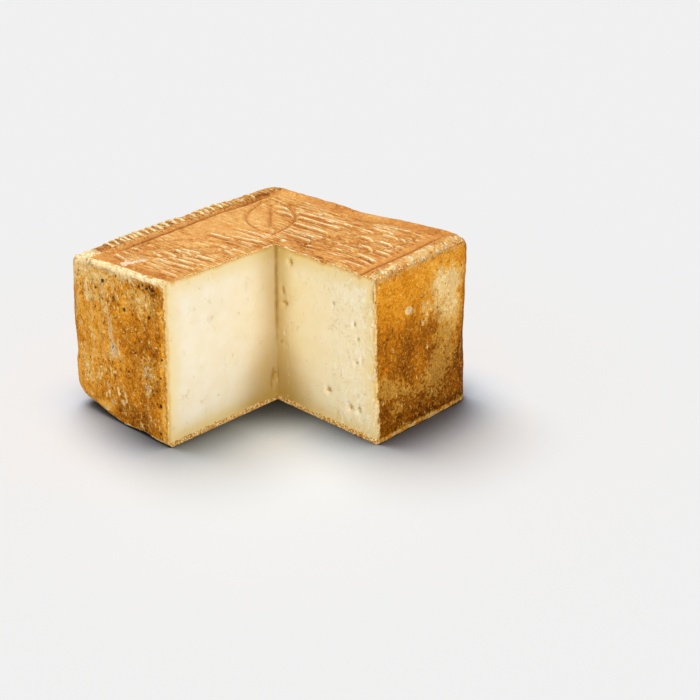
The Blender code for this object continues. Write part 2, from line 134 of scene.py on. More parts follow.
press = {
    "fieldX": (-0.0692, 0.0765),
    "fieldY": (-0.0830, 0.0790),
    "fieldLean": 0.025,
    "borderWidth": 0.0060,
    "borderDepth": {"x-": 0.0024, "x+": 0.0012, "y-": 0.0010, "y+": 0.0005},
    "borderBlend": (0.3, 0.7),
    "rimRise": 0.0008,
    "rimRamp": 0.004,
    "ribWidth": 0.0010,
    "ribHeight": 0.0014,
    "ribEnds": 0.0022,
    "ribWander": (0.0005, 0.010),
    "ribPhase": 7.3,
    "troughOffset": 1.9,           # a crease in front of each rib, in half widths
    "paleTaper": 2.6,              # in lengths of the ribs' ends
    "paleWeakest": 0.42,
    "rimPaleTo": -0.0722,
    "rimPaleWidth": 1.2,
    "paleWidth": 0.80,
    "paleClearOfRim": (0.0014, 0.0026),
    "paleClearOfLeaf": (0.0006, 0.0014),
    # how dark the painted shade in the border's groove is on each side
    "borderShade": {"x-": 1.0, "x+": 0.92, "y-": 0.20, "y+": 0.35},
    "troughShare": 0.40,
    "rimRibTo": -0.0745,
    "clearOfBorder": (0.0024, 0.0045),
    "clearOfLeaf": (0.0016, 0.0034),
    "waves": ((0.0009, 0.035, 2.0), (0.0003, 0.006, 4.0)),
    "depth": 0.008,
    "full": 0.001,
    "leafStart": 0.020,
    "leafEnd": 0.092,
    "leafHalfWidth": 0.0165,
    "leafVein": (0.20, 0.86),
    "leafGrooveWidth": 0.0050,
    "leafGrooveDepth": 0.0016,
    "break": {"x": 0.043, "y": 0.003, "radius": 0.0045, "depth": 0.0028},
    "ribs": (                      # where each begins and ends, in millimetres, and its strength
        (-25, 75.5, 20, 76.5, 0.35), (-34, 70.5, -4, 71.5, 0.35), (-45, 66.5, -4, 67, 0.40),
        (-40, 62.5, 12, 63, 0.35), (-51, 56.5, 18, 59.2, 0.85), (-36, 53, -18, 53, 0.40),
        (-45, 49.5, 17, 50.8, 0.95), (-21, 39.5, 15, 39.5, 1.00), (-14, 28.5, 18, 28.5, 0.90),
        (-48, 25.5, -32, 25.5, 0.40), (-8, 22.5, 18, 22.8, 0.75), (-24, 20, -10, 18, 0.50),
        (-47, 17.2, -26, 19.5, 0.50), (-24, 12.5, -8, 12.5, 0.40), (-60, 10.5, -45, 10, 0.30),
        (-40, 6.5, -6, 8, 0.60), (-36, 2, -12, 2.5, 0.55), (13, 16, 24, 16, 0.30),
        (14, 9.5, 29, 10, 0.60), (-42, -6.8, -24, -5, 0.50), (-27, -4.5, -3, -3, 0.80),
        (-47, -11.2, -22, -9.8, 0.95), (-20, -9.2, -4, -8.6, 0.75), (-32, -23, -2, -20.3, 0.60),
        (-41, -27.8, -26, -26.2, 0.45), (-21, -27.8, -6, -26.5, 0.80), (-46, -42, -10, -39.2, 0.55),
        (-42, -47, -4, -43.2, 1.00), (-45, -54, -6, -49.8, 0.90), (-46, -58.5, -7, -54.8, 0.90),
        (-37, -63.5, -3, -61, 0.75), (-38, -67.2, -24, -65.5, 0.50), (-38, -71.2, -21, -71.2, 0.70),
        (-19, -76.2, -2, -75.5, 0.80), (-67, -61.2, -53, -59.6, 0.70), (-67, -67, -53, -69.2, 0.65),
        (-67, -73, -46, -77.2, 0.80), (-64, -80, -48, -82, 0.40), (-67, -31, -52, -31.2, 0.35),
        (-64, -48, -53, -49.5, 0.40), (34, 75, 56, 75, 0.35), (24, 70.5, 60, 71.2, 0.65),
        (58, 69.5, 71, 68, 0.35), (26, 65.2, 72, 61.8, 0.55), (22, 57.8, 40, 59.2, 0.70),
        (40, 59.5, 72, 56.2, 0.80), (30, 47.5, 72, 47, 1.00), (23, 44.5, 31, 44.2, 0.45),
        (56, 39.2, 73, 38.5, 0.80), (43, 36.2, 73, 33, 1.00), (23, 40, 34, 38.5, 0.35),
        (24, 28.5, 51, 28.5, 0.70), (32, 22.5, 50, 22.2, 0.55), (52, 24.2, 74, 20.5, 1.00),
        (45, 16.2, 60, 18, 0.55), (60, 18, 76, 15, 0.65), (54, 10, 76, 9.8, 0.65),
        (60, 7.5, 68, 5.5, 0.50),
    ),
    "rimRibs": (                   # short ribs across the left rim: where, and its strength
        (57, 0.5), (46, 0.4), (36.5, 0.5), (32, 0.5), (26.8, 1.0), (20, 0.8), (15, 0.6), (9.8, 1.0),
        (3.5, 0.5), (-7, 0.8), (-13.8, 1.0), (-20.5, 0.9), (-26, 0.8), (-32, 0.8), (-37.2, 0.7),
        (-42.5, 0.9), (-46.5, 0.7), (-50, 0.8), (-53.5, 0.8), (-56.5, 0.7), (-61.5, 0.7),
        (-66.5, 0.6),
    ),
}
far = 1.0                          # metres, further off than anything here
tiny = 1e-5
bellTail = 3.0
nearly = 0.9


def cornerShare(x, y, corner):
    if x * corner["sign"][0] <= 0 or y * corner["sign"][1] <= 0:
        return 0.0
    return abs(x) / block["halfSide"] * abs(y) / block["halfSide"]


def cornerOf(x, y):
    for corner in block["corners"]:
        if x * corner["sign"][0] > 0 and y * corner["sign"][1] > 0:
            return corner
    return None


def sideShare(x, y):               # one near a side facing along X, zero near one facing along Y
    insetX = block["halfSide"] - abs(x)
    insetY = block["halfSide"] - abs(y)
    total = insetX + insetY
    return 0.5 if total < tiny else insetY / total


def sidesAt(x, y):
    return ("x+" if x > 0 else "x-"), ("y+" if y > 0 else "y-")


def nearCorners(x, y, size):
    total = 0.0
    for corner in block["corners"]:
        reachX = x - corner["sign"][0] * block["halfSide"]
        reachY = y - corner["sign"][1] * block["halfSide"]
        total += corner[size] * bell(math.hypot(reachX, reachY) / block["cornerReach"])
    return total


def baseRadius(x, y):
    height, size = block["baseWave"]
    radius = block["baseEdge"] + height * wave(x, y, block["baseWaveLevel"], size)
    radius += nearCorners(x, y, "foot")
    if y < -block["halfSide"] / 2:
        nick = block["nick"]
        radius += block["frontWear"] * (1.0 - sideShare(x, y))
        radius += nick["rise"] * bell((x - nick["x"]) / nick["width"])
    return radius


def topRadius(x, y):
    nameX, nameY = sidesAt(x, y)
    sides = block["sides"]
    edge = mix(sides[nameY]["edge"], sides[nameX]["edge"], sideShare(x, y))
    return edge + nearCorners(x, y, "brow")


def roundPair(inset, depth, radius):     # folds a sharp edge into a quarter circle
    if inset >= radius or depth >= radius:
        return inset, depth
    a = radius - inset
    b = radius - depth
    scale = max(a, b) / math.hypot(a, b)
    return radius - a * scale, radius - b * scale


def roundBlock(x, y, z):
    half = block["halfSide"]
    height = block["height"]
    inset = half - max(abs(x), abs(y))
    if z > height / 2:
        newInset, depth = roundPair(inset, height - z, topRadius(x, y))
        z = height - depth
    else:
        newInset, z = roundPair(inset, z, baseRadius(x, y))
        z = max(z - block["baseSettle"] * (1.0 - 2.0 * z / height), 0.0)
    corner = cornerOf(x, y)
    radius = corner["radius"] if corner else 0.0
    a = abs(x) - (half - radius)
    b = abs(y) - (half - radius)
    if corner and a > 0 and b > 0:
        turn = (radius - newInset) / math.hypot(a, b)
        roundX = half - radius + a * turn
        roundY = half - radius + b * turn
        return math.copysign(roundX, x), math.copysign(roundY, y), z
    if abs(x) > abs(y):
        return math.copysign(half - newInset, x), y, z
    return x, math.copysign(half - newInset, y), z


def sideProfile(side, share):
    base = side["base"] * (1.0 - share) * (1.0 - 2.0 * share)
    middle = side["middle"] * 4.0 * share * (1.0 - share)
    top = side["top"] * share * (2.0 * share - 1.0)
    return base + middle + top


def leanSides(x, y, z):
    nameX, nameY = sidesAt(x, y)
    shareX = abs(x) / block["halfSide"]
    shareY = abs(y) / block["halfSide"]
    lumps = sum(height * wave(x, y, z, size) for height, size in block["lumps"])
    lumps *= smooth(0.0, block["lumpsRise"], z)
    level = z / block["height"]
    outX = sideProfile(block["sides"][nameX], level) * smooth(block["swellFrom"], 1.0, shareX)
    outY = sideProfile(block["sides"][nameY], level) * smooth(block["swellFrom"], 1.0, shareY)
    outX += lumps * smooth(block["skinFrom"], 1.0, shareX)
    outY += lumps * smooth(block["skinFrom"], 1.0, shareY)
    for corner in block["corners"]:
        pull = cornerShare(x, y, corner)
        outX += corner["draw"][0] * pull
        outY += corner["draw"][1] * pull
    if x > 0:
        risen = max(level - cut["endFrom"], 0.0) / (1.0 - cut["endFrom"])
        beside = bell(y / cut["endAlong"]) * smooth(block["swellFrom"], 1.0, shareX)
        outX -= cut["endBack"] * risen * beside
    return x + outX * math.copysign(1.0, x), y + outY * math.copysign(1.0, y)


def setCuts(x, y, z):
    byX = 1.0 - smooth(0.0, cut["reach"], abs(x))
    byY = 1.0 - smooth(0.0, cut["reach"], abs(y))
    lip = cut["lipOut"] * bell(z / cut["lipRise"])
    along = min(max(x / block["halfSide"], 0.0), 1.0)
    shiftX = mix(cut["xBase"], cut["xTop"], z / block["height"]) + lip
    shiftY = mix(cut["yInner"], cut["yOuter"], along) - lip
    shiftX *= byX * (1.0 - smooth(0.0, cut["reach"], y))
    shiftY *= byY * (1.0 - smooth(0.0, cut["reach"], -x))
    return x + shiftX, y + shiftY


def makeRibs():
    made = []
    for startX, startY, endX, endY, strength in inMetres(press["ribs"], 4):
        made.append({
            "start": (startX, startY), "end": endX, "slope": (endY - startY) / (endX - startX),
            "strength": strength, "paleEnd": endX,
            "paleTaper": press["paleTaper"], "paleWidth": press["paleWidth"],
        })
    for y, strength in inMetres(press["rimRibs"], 1):
        made.append({
            "start": (-far, y), "end": press["rimRibTo"], "slope": 0.0,
            "strength": strength, "paleEnd": press["rimPaleTo"],
            "paleTaper": 1.0, "paleWidth": press["rimPaleWidth"],
        })
    for number, rib in enumerate(made):
        rib["phase"] = number * press["ribPhase"]
    return made


def ribMarks(x, y):                # crest, crease, and the pale line on the crest, up to about one
    crest = 0.0
    crease = 0.0
    pale = 0.0
    height, size = press["ribWander"]
    reach = press["ribWidth"] * (bellTail + press["troughOffset"]) + height
    for rib in ribs:
        line = rib["start"][1] + rib["slope"] * (x - rib["start"][0])
        if abs(y - line) > reach or not rib["start"][0] < x < rib["paleEnd"]:
            continue
        offset = (y - line - height * wave(x, rib["phase"], 0.0, size)) / press["ribWidth"]
        fromStart = (x - rib["start"][0]) / press["ribEnds"]
        fromEnd = max(rib["end"] - x, 0.0) / press["ribEnds"]
        share = rib["strength"] * min(fromStart, fromEnd, 1.0)
        crest += share * bell(offset)
        crease += share * bell(offset + press["troughOffset"])
        fromPaleEnd = (rib["paleEnd"] - x) / press["ribEnds"]
        taper = min(fromStart, fromPaleEnd, rib["paleTaper"]) / rib["paleTaper"]
        lineShare = mix(press["paleWeakest"], 1.0, rib["strength"]) * taper
        pale = max(pale, lineShare * bell(offset / rib["paleWidth"]))
    return crest, crease, pale


def fieldDistance(x, y):           # outside the line round the sunk field, negative inside
    if x < 0:
        x += press["fieldLean"] * y
    middleX = sum(press["fieldX"]) / 2
    middleY = sum(press["fieldY"]) / 2
    halfX = (press["fieldX"][1] - press["fieldX"][0]) / 2
    halfY = (press["fieldY"][1] - press["fieldY"][0]) / 2
    return max(abs(x - middleX) - halfX, abs(y - middleY) - halfY)


def borderValue(x, y, values):     # what the border has at the nearest side, blended at the corners
    nameX, nameY = sidesAt(x, y)
    share = smooth(*press["borderBlend"], sideShare(x, y))
    return mix(values[nameY], values[nameX], share)


def leafDistance(x, y):
    along = (abs(x) + abs(y)) / math.sqrt(2)
    across = abs(abs(x) - abs(y)) / math.sqrt(2)
    share = (along - press["leafStart"]) / (press["leafEnd"] - press["leafStart"])
    if not 0 < share < 1:
        return far
    outline = abs(across - press["leafHalfWidth"] * 4 * share * (1 - share))
    vein = across if press["leafVein"][0] < share < press["leafVein"][1] else far
    return min(outline, vein)


def groove(distance, width, depth):
    if abs(distance) >= width / 2:
        return 0.0
    return -depth * (0.5 + 0.5 * math.cos(2 * math.pi * distance / width))


def ribRoom(x, y):                 # zero in the border and in the leaves, where no rib runs
    border = smooth(*press["clearOfBorder"], abs(fieldDistance(x, y)))
    return border * smooth(*press["clearOfLeaf"], leafDistance(x, y))


def paleRoom(x, y):                # the pale lines go nearer to the rim's groove and to the leaves
    border = fieldDistance(x, y)
    clear = press["paleClearOfRim"] if border > 0 else press["clearOfBorder"]
    return smooth(*clear, abs(border)) * smooth(*press["paleClearOfLeaf"], leafDistance(x, y))


def topRelief(x, y):
    border = fieldDistance(x, y)
    relief = press["rimRise"] * smooth(0.0, press["rimRamp"], border)
    relief += groove(border, press["borderWidth"], borderValue(x, y, press["borderDepth"]))
    relief += groove(leafDistance(x, y), press["leafGrooveWidth"], press["leafGrooveDepth"])
    crest, crease, _ = ribMarks(x, y)
    relief += press["ribHeight"] * (crest - press["troughShare"] * crease) * ribRoom(x, y)
    relief += sum(height * wave(x, y, level, size) for height, size, level in press["waves"])
    gap = press["break"]
    relief -= gap["depth"] * bell(math.hypot(x - gap["x"], y - gap["y"]) / gap["radius"])
    return relief


def liftTop(x, y, z):
    height = block["height"]
    lift = sum(corner["lift"] * cornerShare(x, y, corner) for corner in block["corners"])
    fade = smooth(height - press["depth"], height - press["full"], z)
    relief = topRelief(x, y) * fade if fade > 0 else 0.0
    return z + lift * z / height + relief


def eyeDepth(along, up, holes):
    depth = 0.0
    for eyeAlong, eyeUp, radius, deep in holes:
        away = math.hypot(along - eyeAlong, (up - eyeUp) * cut["eyeStretch"]) / radius
        if away < bellTail:
            depth += deep * bell(away)
    return depth


ribs = makeRibs()
eyes = {axis: inMetres(rows, 4) for axis, rows in eyes.items()}


def shapePoint(x, y, z):           # from the sharp blank to the cheese
    facingX = abs(x) < tiny and y < -tiny
    facingY = abs(y) < tiny and x > tiny
    x, y, z = roundBlock(x, y, z)
    if facingX:
        x -= eyeDepth(-y, z, eyes["x"])
    if facingY:
        y += eyeDepth(x, z, eyes["y"])
    newZ = liftTop(x, y, z)
    x, y = leanSides(x, y, z)
    x, y = setCuts(x, y, z)
    return Vector((x, y, newZ))


def divide(bm, direction, length, step):
    edges = []
    for edge in bm.edges:
        run = edge.verts[1].co - edge.verts[0].co
        if abs(run.dot(direction)) > nearly * run.length:
            edges.append(edge)
    bmesh.ops.subdivide_edges(bm, edges=edges, cuts=round(length / step) - 1, use_grid_fill=True)


def makeBlank():
    bm = bmesh.new()
    h = block["halfSide"]
    outline = [(-h, -h), (0, -h), (0, 0), (h, 0), (h, h), (-h, h)]
    face = bm.faces.new([bm.verts.new((x, y, 0.0)) for x, y in outline])
    grown = bmesh.ops.extrude_face_region(bm, geom=[face])
    risen = [item for item in grown["geom"] if isinstance(item, bmesh.types.BMVert)]
    bmesh.ops.translate(bm, verts=risen, vec=(0.0, 0.0, block["height"]))
    for normal in (Vector((1, 0, 0)), Vector((0, 1, 0))):
        everything = bm.verts[:] + bm.edges[:] + bm.faces[:]
        bmesh.ops.bisect_plane(bm, geom=everything, plane_co=(0, 0, 0), plane_no=normal)
    bmesh.ops.recalc_face_normals(bm, faces=bm.faces)
    divide(bm, Vector((0, 0, 1)), block["height"], block["stepZ"])
    divide(bm, Vector((1, 0, 0)), h, block["stepX"])
    divide(bm, Vector((0, 1, 0)), h, block["stepY"])
    return bm


# ---- paint: a patch is its middle along the side and up, half width and half height, in
# millimetres, and its strength; a pit is its middle, radius and depth, all in millimetres
frontPaint = {
    "noise": 21.0,                 # where in the noise this side lies
    "tone": 0.56,
    "toneWaves": ((0.16, 1.0, 0.60, 1.0, 0.016), (0.14, 1.0, 0.35, 5.0, 0.0050)),
    "leastFleck": 0.60,
    "left": (-0.062, -0.040),      # up to here the side is paler and has more streaks
    "leftTone": 0.07,
    "streakNoise": 3.3,
    "streakFrom": (0.05, 0.45),
    "streakCream": (0.28, 0.47),
    "streakRise": 0.0003,
    "holesNoise": 7.0,
    "footNoise": 7.7,
    "footHigh": 0.0030,
    "footBand": (0.50, 0.45),      # cream, and what its holes take away
    "footShade": (0.16, 0.35),     # darker where the band ends: how much, and at what share of it
    "rimWave": (0.0012, 9.1),
    "rimBand": (0.66, 0.30),
    "rimBandRight": (0.54, 0.55),
    "rimRight": (-0.030, -0.010),
    "rimFrom": (0.1058, 0.1084),
    "underRimBand": (0.50, 0.42),
    "underRimFrom": (0.1006, 0.1050),
    "cutNoise": 4.4,
    "cutBand": (0.66, 0.40),
    "cutBandTo": (0.0008, 0.0022),
    "besideCut": (0.0045, 0.0028), # a brighter stripe: where, how wide
    "besideCutTone": 0.16,
    "besideCutTo": (0.100, 0.090),
    "cream": (
        (-80, 104, 13, 4.4, 0.60), (-87, 98.5, 6, 12, 0.64), (-72.2, 92, 1.6, 11, 0.72),
        (-70.8, 84, 2.8, 4, 0.62), (-68, 74, 1.4, 10, 0.52), (-66, 88, 5, 3, 0.40),
        (-81.5, 73, 1.5, 8, 0.56), (-79, 62, 3, 3, 0.50), (-89, 45, 1.8, 6, 0.56),
        (-86, 36, 1.4, 5, 0.46), (-45.2, 57, 1, 6.5, 0.62), (-44.7, 50, 1.3, 4, 0.62),
        (-55, 81, 2.2, 2.8, 0.62), (-44, 92, 2.2, 3, 0.50), (-74.5, 30, 1.2, 7.5, 0.62),
        (-72, 24, 1.8, 4, 0.50), (-79, 42, 1.6, 6, 0.46), (-64, 56, 1.6, 5, 0.44),
        (-55, 23, 1.6, 5.5, 0.58), (-53, 15, 2.2, 3, 0.50), (-47.5, 22.5, 1.3, 5, 0.66),
        (-41, 20, 1.6, 5.5, 0.70), (-44, 15, 3, 2, 0.64), (-44, 27.5, 2.6, 1.4, 0.50),
        (-16.5, 92, 2.2, 1.8, 0.64), (-15, 88, 1.6, 1.4, 0.52), (-10, 67, 1.4, 1.2, 0.52),
        (-6, 60, 1.2, 2, 0.46), (-58, 5, 3, 1.8, 0.80), (-73, 12, 2.2, 2, 0.60),
        (-20, 22, 5, 1.4, 0.42), (-12, 15, 4, 1.2, 0.36),
    ),
    "mould": (
        (-52.5, 74, 1.3, 9, 0.56), (-51.5, 64, 1.8, 9, 0.62), (-50, 54, 3, 7, 0.72),
        (-51.2, 48.4, 3.6, 2.6, 0.64), (-22, 54, 1, 5, 0.62), (-19, 49, 3.6, 1.2, 0.62),
        (-20.5, 45, 1.2, 5, 0.64), (-17.2, 45.5, 2.8, 1, 0.60), (-19, 35.2, 4, 1.2, 0.62),
        (-19, 32, 1.1, 5.6, 0.62), (-16.5, 37.8, 2.4, 1, 0.58),
    ),
    "bright": (
        (-60, 9, 7, 4.5, 0.40), (-3.5, 45, 1.8, 60, 0.20), (-78, 50, 13, 35, 0.12),
        (-48, 42, 16, 16, 0.12), (-50, 94, 35, 11, 0.10), (-41, 86, 6, 8, 0.18),
    ),
    "brown": (
        (-18, 76, 16, 22, 0.13), (-20, 44, 16, 18, 0.10), (-37, 64, 8, 14, 0.18),
        (-30, 10, 26, 7, 0.20), (-16, 103.5, 13, 2.4, 0.22), (-33, 103, 6, 1.6, 0.14),
        (-48, 86, 3, 6, 0.20), (-86, 70, 4, 14, 0.14), (-56, 40, 5, 5, 0.16), (-8, 98, 6, 8, 0.16),
    ),
    "tan": (
        (-20, 93, 14, 10, 0.46), (-62, 100, 18, 5, 0.52), (-82, 99, 9, 6, 0.50),
        (-17, 44, 8, 14, 0.36),
    ),
    "fleck": (
        (-60, 90, 24, 13, 0.86), (-30, 98, 30, 8, 0.76), (-78, 60, 12, 30, 0.70),
        (-62, 32, 26, 24, 0.76), (-40, 40, 20, 12, 0.66), (-5, 60, 4.5, 50, 0.66),
        (-15, 30, 16, 20, 0.46), (-40, 16, 30, 10, 0.60),
    ),
    "pitShade": 1.0,
    "pits": (
        (-22.5, 104, 1.1, 1), (-19.2, 105.2, 0.9, 0.9), (-16, 103.6, 1.1, 1.1),
        (-13.2, 105.2, 1, 1), (-10.4, 103.8, 1.1, 1), (-7.8, 102.4, 0.9, 0.8),
        (-33, 104.6, 0.9, 0.7), (-44.5, 105, 0.9, 0.7), (-38.8, 83.5, 1.6, 1.4),
        (-15.5, 84.5, 1.4, 1.2), (-8, 26, 1.6, 1.3), (-57, 99, 1.6, 0.9), (-64, 92.5, 1.2, 0.8),
        (-48, 90, 1, 0.7), (-28, 71, 0.9, 0.7), (-5, 59, 1, 0.9), (-8, 7, 1.2, 0.9),
        (-37, 41, 1, 0.6), (-6, 46, 1, 0.8), (-30, 56, 0.9, 0.6),
    ),
}
rightPaint = {
    "noise": 31.0,
    "tone": 0.34,
    "toneWaves": ((0.10, 1.0, 1.0, 1.0, 0.016), (0.08, 1.0, 0.60, 5.0, 0.0050)),
    "leastFleck": 0.40,
    "upTone": 0.19,                # lighter towards the top
    "upFrom": (0.020, 0.095),
    "holesNoise": 6.0,
    "footNoise": 5.2,
    "footHigh": 0.0036,
    "footBand": (0.26, 0.75),
    "footTan": (0.44, 0.80),
    "footTone": 0.12,
    "footShade": (0.26, 0.25),
    "footRise": 0.0005,
    "rimWave": (0.0016, 8.3),
    "rimBand": (0.40, 0.50),
    "rimFrom": (0.1076, 0.1098),
    "rimFleck": 0.70,
    "rimFleckFrom": (0.098, 0.106),
    "cutNoise": 5.4,
    "cutBand": (0.60, 0.45),
    "cutBandTo": (0.0004, 0.0020),
    "cream": (
        (60, 97.5, 4.6, 3, 0.54), (58, 93, 2.4, 5, 0.64), (69, 86, 11, 8, 0.52),
        (56, 89, 2.4, 6, 0.54), (54, 86, 5, 6, 0.46), (48, 77, 6, 5, 0.44), (47, 70, 2, 5, 0.50),
        (30, 80, 3.2, 2.6, 0.62), (33, 78, 3, 1.5, 0.50), (43, 67, 2, 3, 0.52),
        (16, 58, 1.5, 2.2, 0.54), (79, 86, 2.4, 10, 0.40), (87, 92, 1, 10, 0.58),
        (85, 78, 1, 8, 0.50), (88, 70, 0.8, 8, 0.46), (52, 18, 2.4, 4, 0.40),
    ),
    "mould": ((30.3, 80, 1.8, 2, 0.56),),
    "bright": (
        (20, 98, 28, 22, 0.17), (76, 106, 16, 8, 0.24), (46, 96, 14, 14, 0.26),
        (48, 76, 9, 10, 0.24), (38, 50, 6, 18, 0.08), (66, 90, 16, 13, 0.32),
        (72, 70, 12, 10, 0.14),
    ),
    "brown": (
        (40, 50, 22, 16, 0.09), (48, 16, 50, 12, 0.10), (82, 28, 10, 16, 0.14),
        (12, 16, 16, 8, 0.08), (84, 60, 3, 20, 0.16), (60, 6, 40, 2.2, 0.24), (86, 98, 3, 10, 0.20),
        (54, 69, 5, 5, 0.20),
    ),
    "tan": (
        (65.5, 83, 9.6, 11.2, 1.00), (65, 72, 11, 11, 0.96), (69, 60, 9, 12, 0.62),
        (62, 52, 9, 6, 0.44), (65, 42, 10, 8, 0.46), (57, 31, 12, 9, 0.52), (54, 18, 9, 6, 0.28),
        (12, 33, 10, 6, 0.46), (28, 28, 8, 5, 0.30), (6, 40, 5, 5, 0.34), (40, 25, 9, 4, 0.30),
        (86, 55, 2, 14, 0.40), (20, 18, 7, 5, 0.34), (58, 92, 4.4, 5, 0.56),
    ),
    "fleck": (
        (50, 80, 12, 20, 0.62), (64, 98, 16, 10, 0.60), (60, 46, 26, 10, 0.52),
        (30, 26, 30, 12, 0.52), (86, 88, 4, 20, 0.70), (50, 10, 50, 6, 0.44),
        (25, 95, 30, 25, 0.24), (10, 56, 15, 20, 0.26),
    ),
    "pitShade": 0.55,
    "pits": (
        (15, 88, 1, 0.7), (12, 76, 0.9, 0.6), (87, 98, 1.1, 1.2), (86, 90, 1.1, 1.2),
        (88, 83, 1, 1), (70, 77, 0.8, 0.6), (58, 73, 0.9, 0.6), (40, 24, 1, 0.8), (46, 54, 1, 0.6),
        (20, 60, 0.8, 0.5),
    ),
}
topPaint = {
    "noise": 61.0,
    "tone": 0.56,
    "toneWaves": ((0.12, 0.5, 1.0, 1.5, 0.014),),
    "leastFleck": 0.22,
    "startsBelow": (0.0045, 0.0010),       # how far down the rounded edge it fades out
    "startWave": (0.0008, 14.0, 0.005),
    "calm": ((-46, 8, 20, 40, 0.70),),      # without combed streaks
    "calmRight": (0.0700, 0.0730),
    "calmBack": (0.0740, 0.0770),
    "calmFront": (-0.0770, -0.0790),
    "edgeWave": (0.0012, 9.1, 0.006),
    "holesNoise": 4.0,
    "frontBandTo": 0.002,
    "frontBand": (0.66, 0.57),     # cream at the left and at the right
    "frontBandHoles": 0.40,
    "frontBandRight": (-0.030, -0.010),
    "frontBandFrom": (-0.0852, -0.0878),
    "rightRim": (0.0785, 0.0815),
    "rightBand": (0.35, 0.75),
    "rightFleck": 0.75,
    "rightTone": 0.08,
    "backBand": (0.42, 0.50),
    "backBandFrom": (0.0850, 0.0890),
    "leftRim": (0.0715, 0.0740),
    "leftBand": (0.44, 0.28),      # cream at the front and at the back
    "leftBandHoles": 0.35,
    "leftBandFrom": (0.0780, 0.0860),
    "leftBandBack": (-0.060, 0.060),
    "leftFleck": 0.70,
    "leftTone": (0.16, 0.12),      # darker on the rim, and more so along its inner edge
    "leftInner": (0.0735, 0.0030),
    "leftDark": 0.50,
    "leftDarkAt": (0.0728, 0.0018),
    "leftDarkNoise": (12.0, 0.0022),
    "leftDarkFrom": (0.06, 0.34),
    "cutBand": (0.44, 0.55),
    "cutBandTo": (0.0008, 0.0030),
    "cutFleck": 0.80,
    "leafShade": 0.78,
    "skinShare": 0.50,
    "combing": (0.00018, 0.10, 8.0, 0.0016),
    "cream": (
        (-82, -85, 11, 7, 0.72), (-74, -80, 5, 3, 0.50), (-48, 50, 8, 2, 0.22),
        (-1.5, 11, 3, 4, 0.66),
    ),
    "mould": (
        (-46.5, -79.5, 3.6, 3.2, 0.70), (-44, -74.5, 2.6, 5, 0.76), (-40.5, -70, 3.4, 2.6, 0.62),
        (-49, -76, 2.2, 2, 0.56),
    ),
    "bright": (
        (-45, 5, 22, 38, 0.14), (-33, 27, 20, 10, 0.10), (86, 50, 4, 40, 0.22),
        (-10, -50, 30, 30, 0.08),
    ),
    "brown": (
        (-25, -82, 30, 3, 0.16), (10, 20, 16, 12, 0.08), (41, 4.5, 6, 3, 0.24),
        (-4, 0, 5, 16, 0.14), (-40, -10, 20, 6, 0.10), (50, 78, 30, 5, 0.10),
    ),
    "tan": ((-58, 68, 12, 18, 0.24), (-80, 30, 6, 70, 0.24)),
    "fleck": (
        (-82, -30, 8, 60, 0.62), (-82, 40, 7, 50, 0.46), (84, 45, 5, 50, 0.72),
        (10, 85, 90, 5, 0.44), (-25, -50, 26, 26, 0.30), (45, 45, 40, 40, 0.28),
        (-20, 60, 40, 20, 0.26),
    ),
    "pitShade": 0.55,
    "pits": (
        (40, 55, 1.1, 0.6), (50, 27, 0.9, 0.6), (30, 6, 1.1, 0.8), (-64, -88, 1, 0.7),
        (-35, -89, 1, 0.8), (-12, -88, 1.2, 1.1), (-7, -89, 1, 1), (-16.5, -89.5, 1, 1),
        (-9, -86.5, 0.9, 0.8), (-20, -88, 1, 0.8),
    ),
}
cutMarks = {                       # middle along the cut and up, half sizes, depth; millimetres
    "x": ((1, 17.5, 1.8, 3.5, 1.4), (4, 12, 1.2, 3, 0.6), (3, 22, 1, 2, 0.6)),
    "y": (
        (13, 101.5, 1.8, 1.8, 2.2), (7.5, 71.5, 3, 1.4, 1.4), (6, 80.5, 1.4, 3.6, 0.8),
        (48, 23, 2.8, 1.5, 1), (66.5, 17.5, 2.2, 1.8, 1), (74, 18, 1.4, 2.4, 1),
        (53, 85, 1.2, 1.4, 0.6), (72, 76, 1.1, 2, 0.7), (75, 67, 1, 1.6, 0.6),
        (73, 50, 1.8, 1, 0.8), (78, 53, 1, 1.8, 0.6), (4, 43, 1.2, 1.4, 0.6),
    ),
}
for look in (frontPaint, rightPaint, topPaint):
    for name in ("cream", "mould", "bright", "brown", "tan", "fleck", "pits"):
        look[name] = inMetres(look[name], 4)
topPaint["calm"] = inMetres(topPaint["calm"], 4)
cutMarks = {axis: inMetres(rows, 5) for axis, rows in cutMarks.items()}

warp = {"reach": 0.0024, "size": 0.010, "fineReach": 0.0010, "fineSize": 0.0028}
patchEdge = (0.55, 1.5)            # a patch fades out between these shares of its half sizes
bands = {                          # the crumbly pale bands along the rims, the foot and the cuts
    "footWaves": ((0.0016, 0.008), (0.0010, 0.0030)),      # height and size
    "footEdge": (0.6, 1.4),        # shares of the band's height between which it ends
    "holes": ((0.6, 0.0, 0.0042), (0.5, 3.0, 0.0020)),     # strength, noise and size
    "rimWaveSize": 0.006,
    "cutWave": (0.0006, 0.003),
    "streakFlat": 0.16,            # streaks are drawn out upwards by one over this
    "streakSize": 0.0034,
}


def warped(u, v, seed):            # gives the patches ragged outlines
    bigU = warp["reach"] * wave(u, v, seed, warp["size"])
    bigV = warp["reach"] * wave(u, v, seed + 5.0, warp["size"])
    fineU = warp["fineReach"] * wave(u, v, seed + 9.0, warp["fineSize"])
    fineV = warp["fineReach"] * wave(u, v, seed + 13.0, warp["fineSize"])
    return u + bigU + fineU, v + bigV + fineV


def patchValue(u, v, patches):
    value = 0.0
    for middleU, middleV, halfU, halfV, strength in patches:
        away = math.hypot((u - middleU) / halfU, (v - middleV) / halfV)
        if away < patchEdge[1]:
            value = max(value, strength * (1.0 - smooth(*patchEdge, away)))
    return value


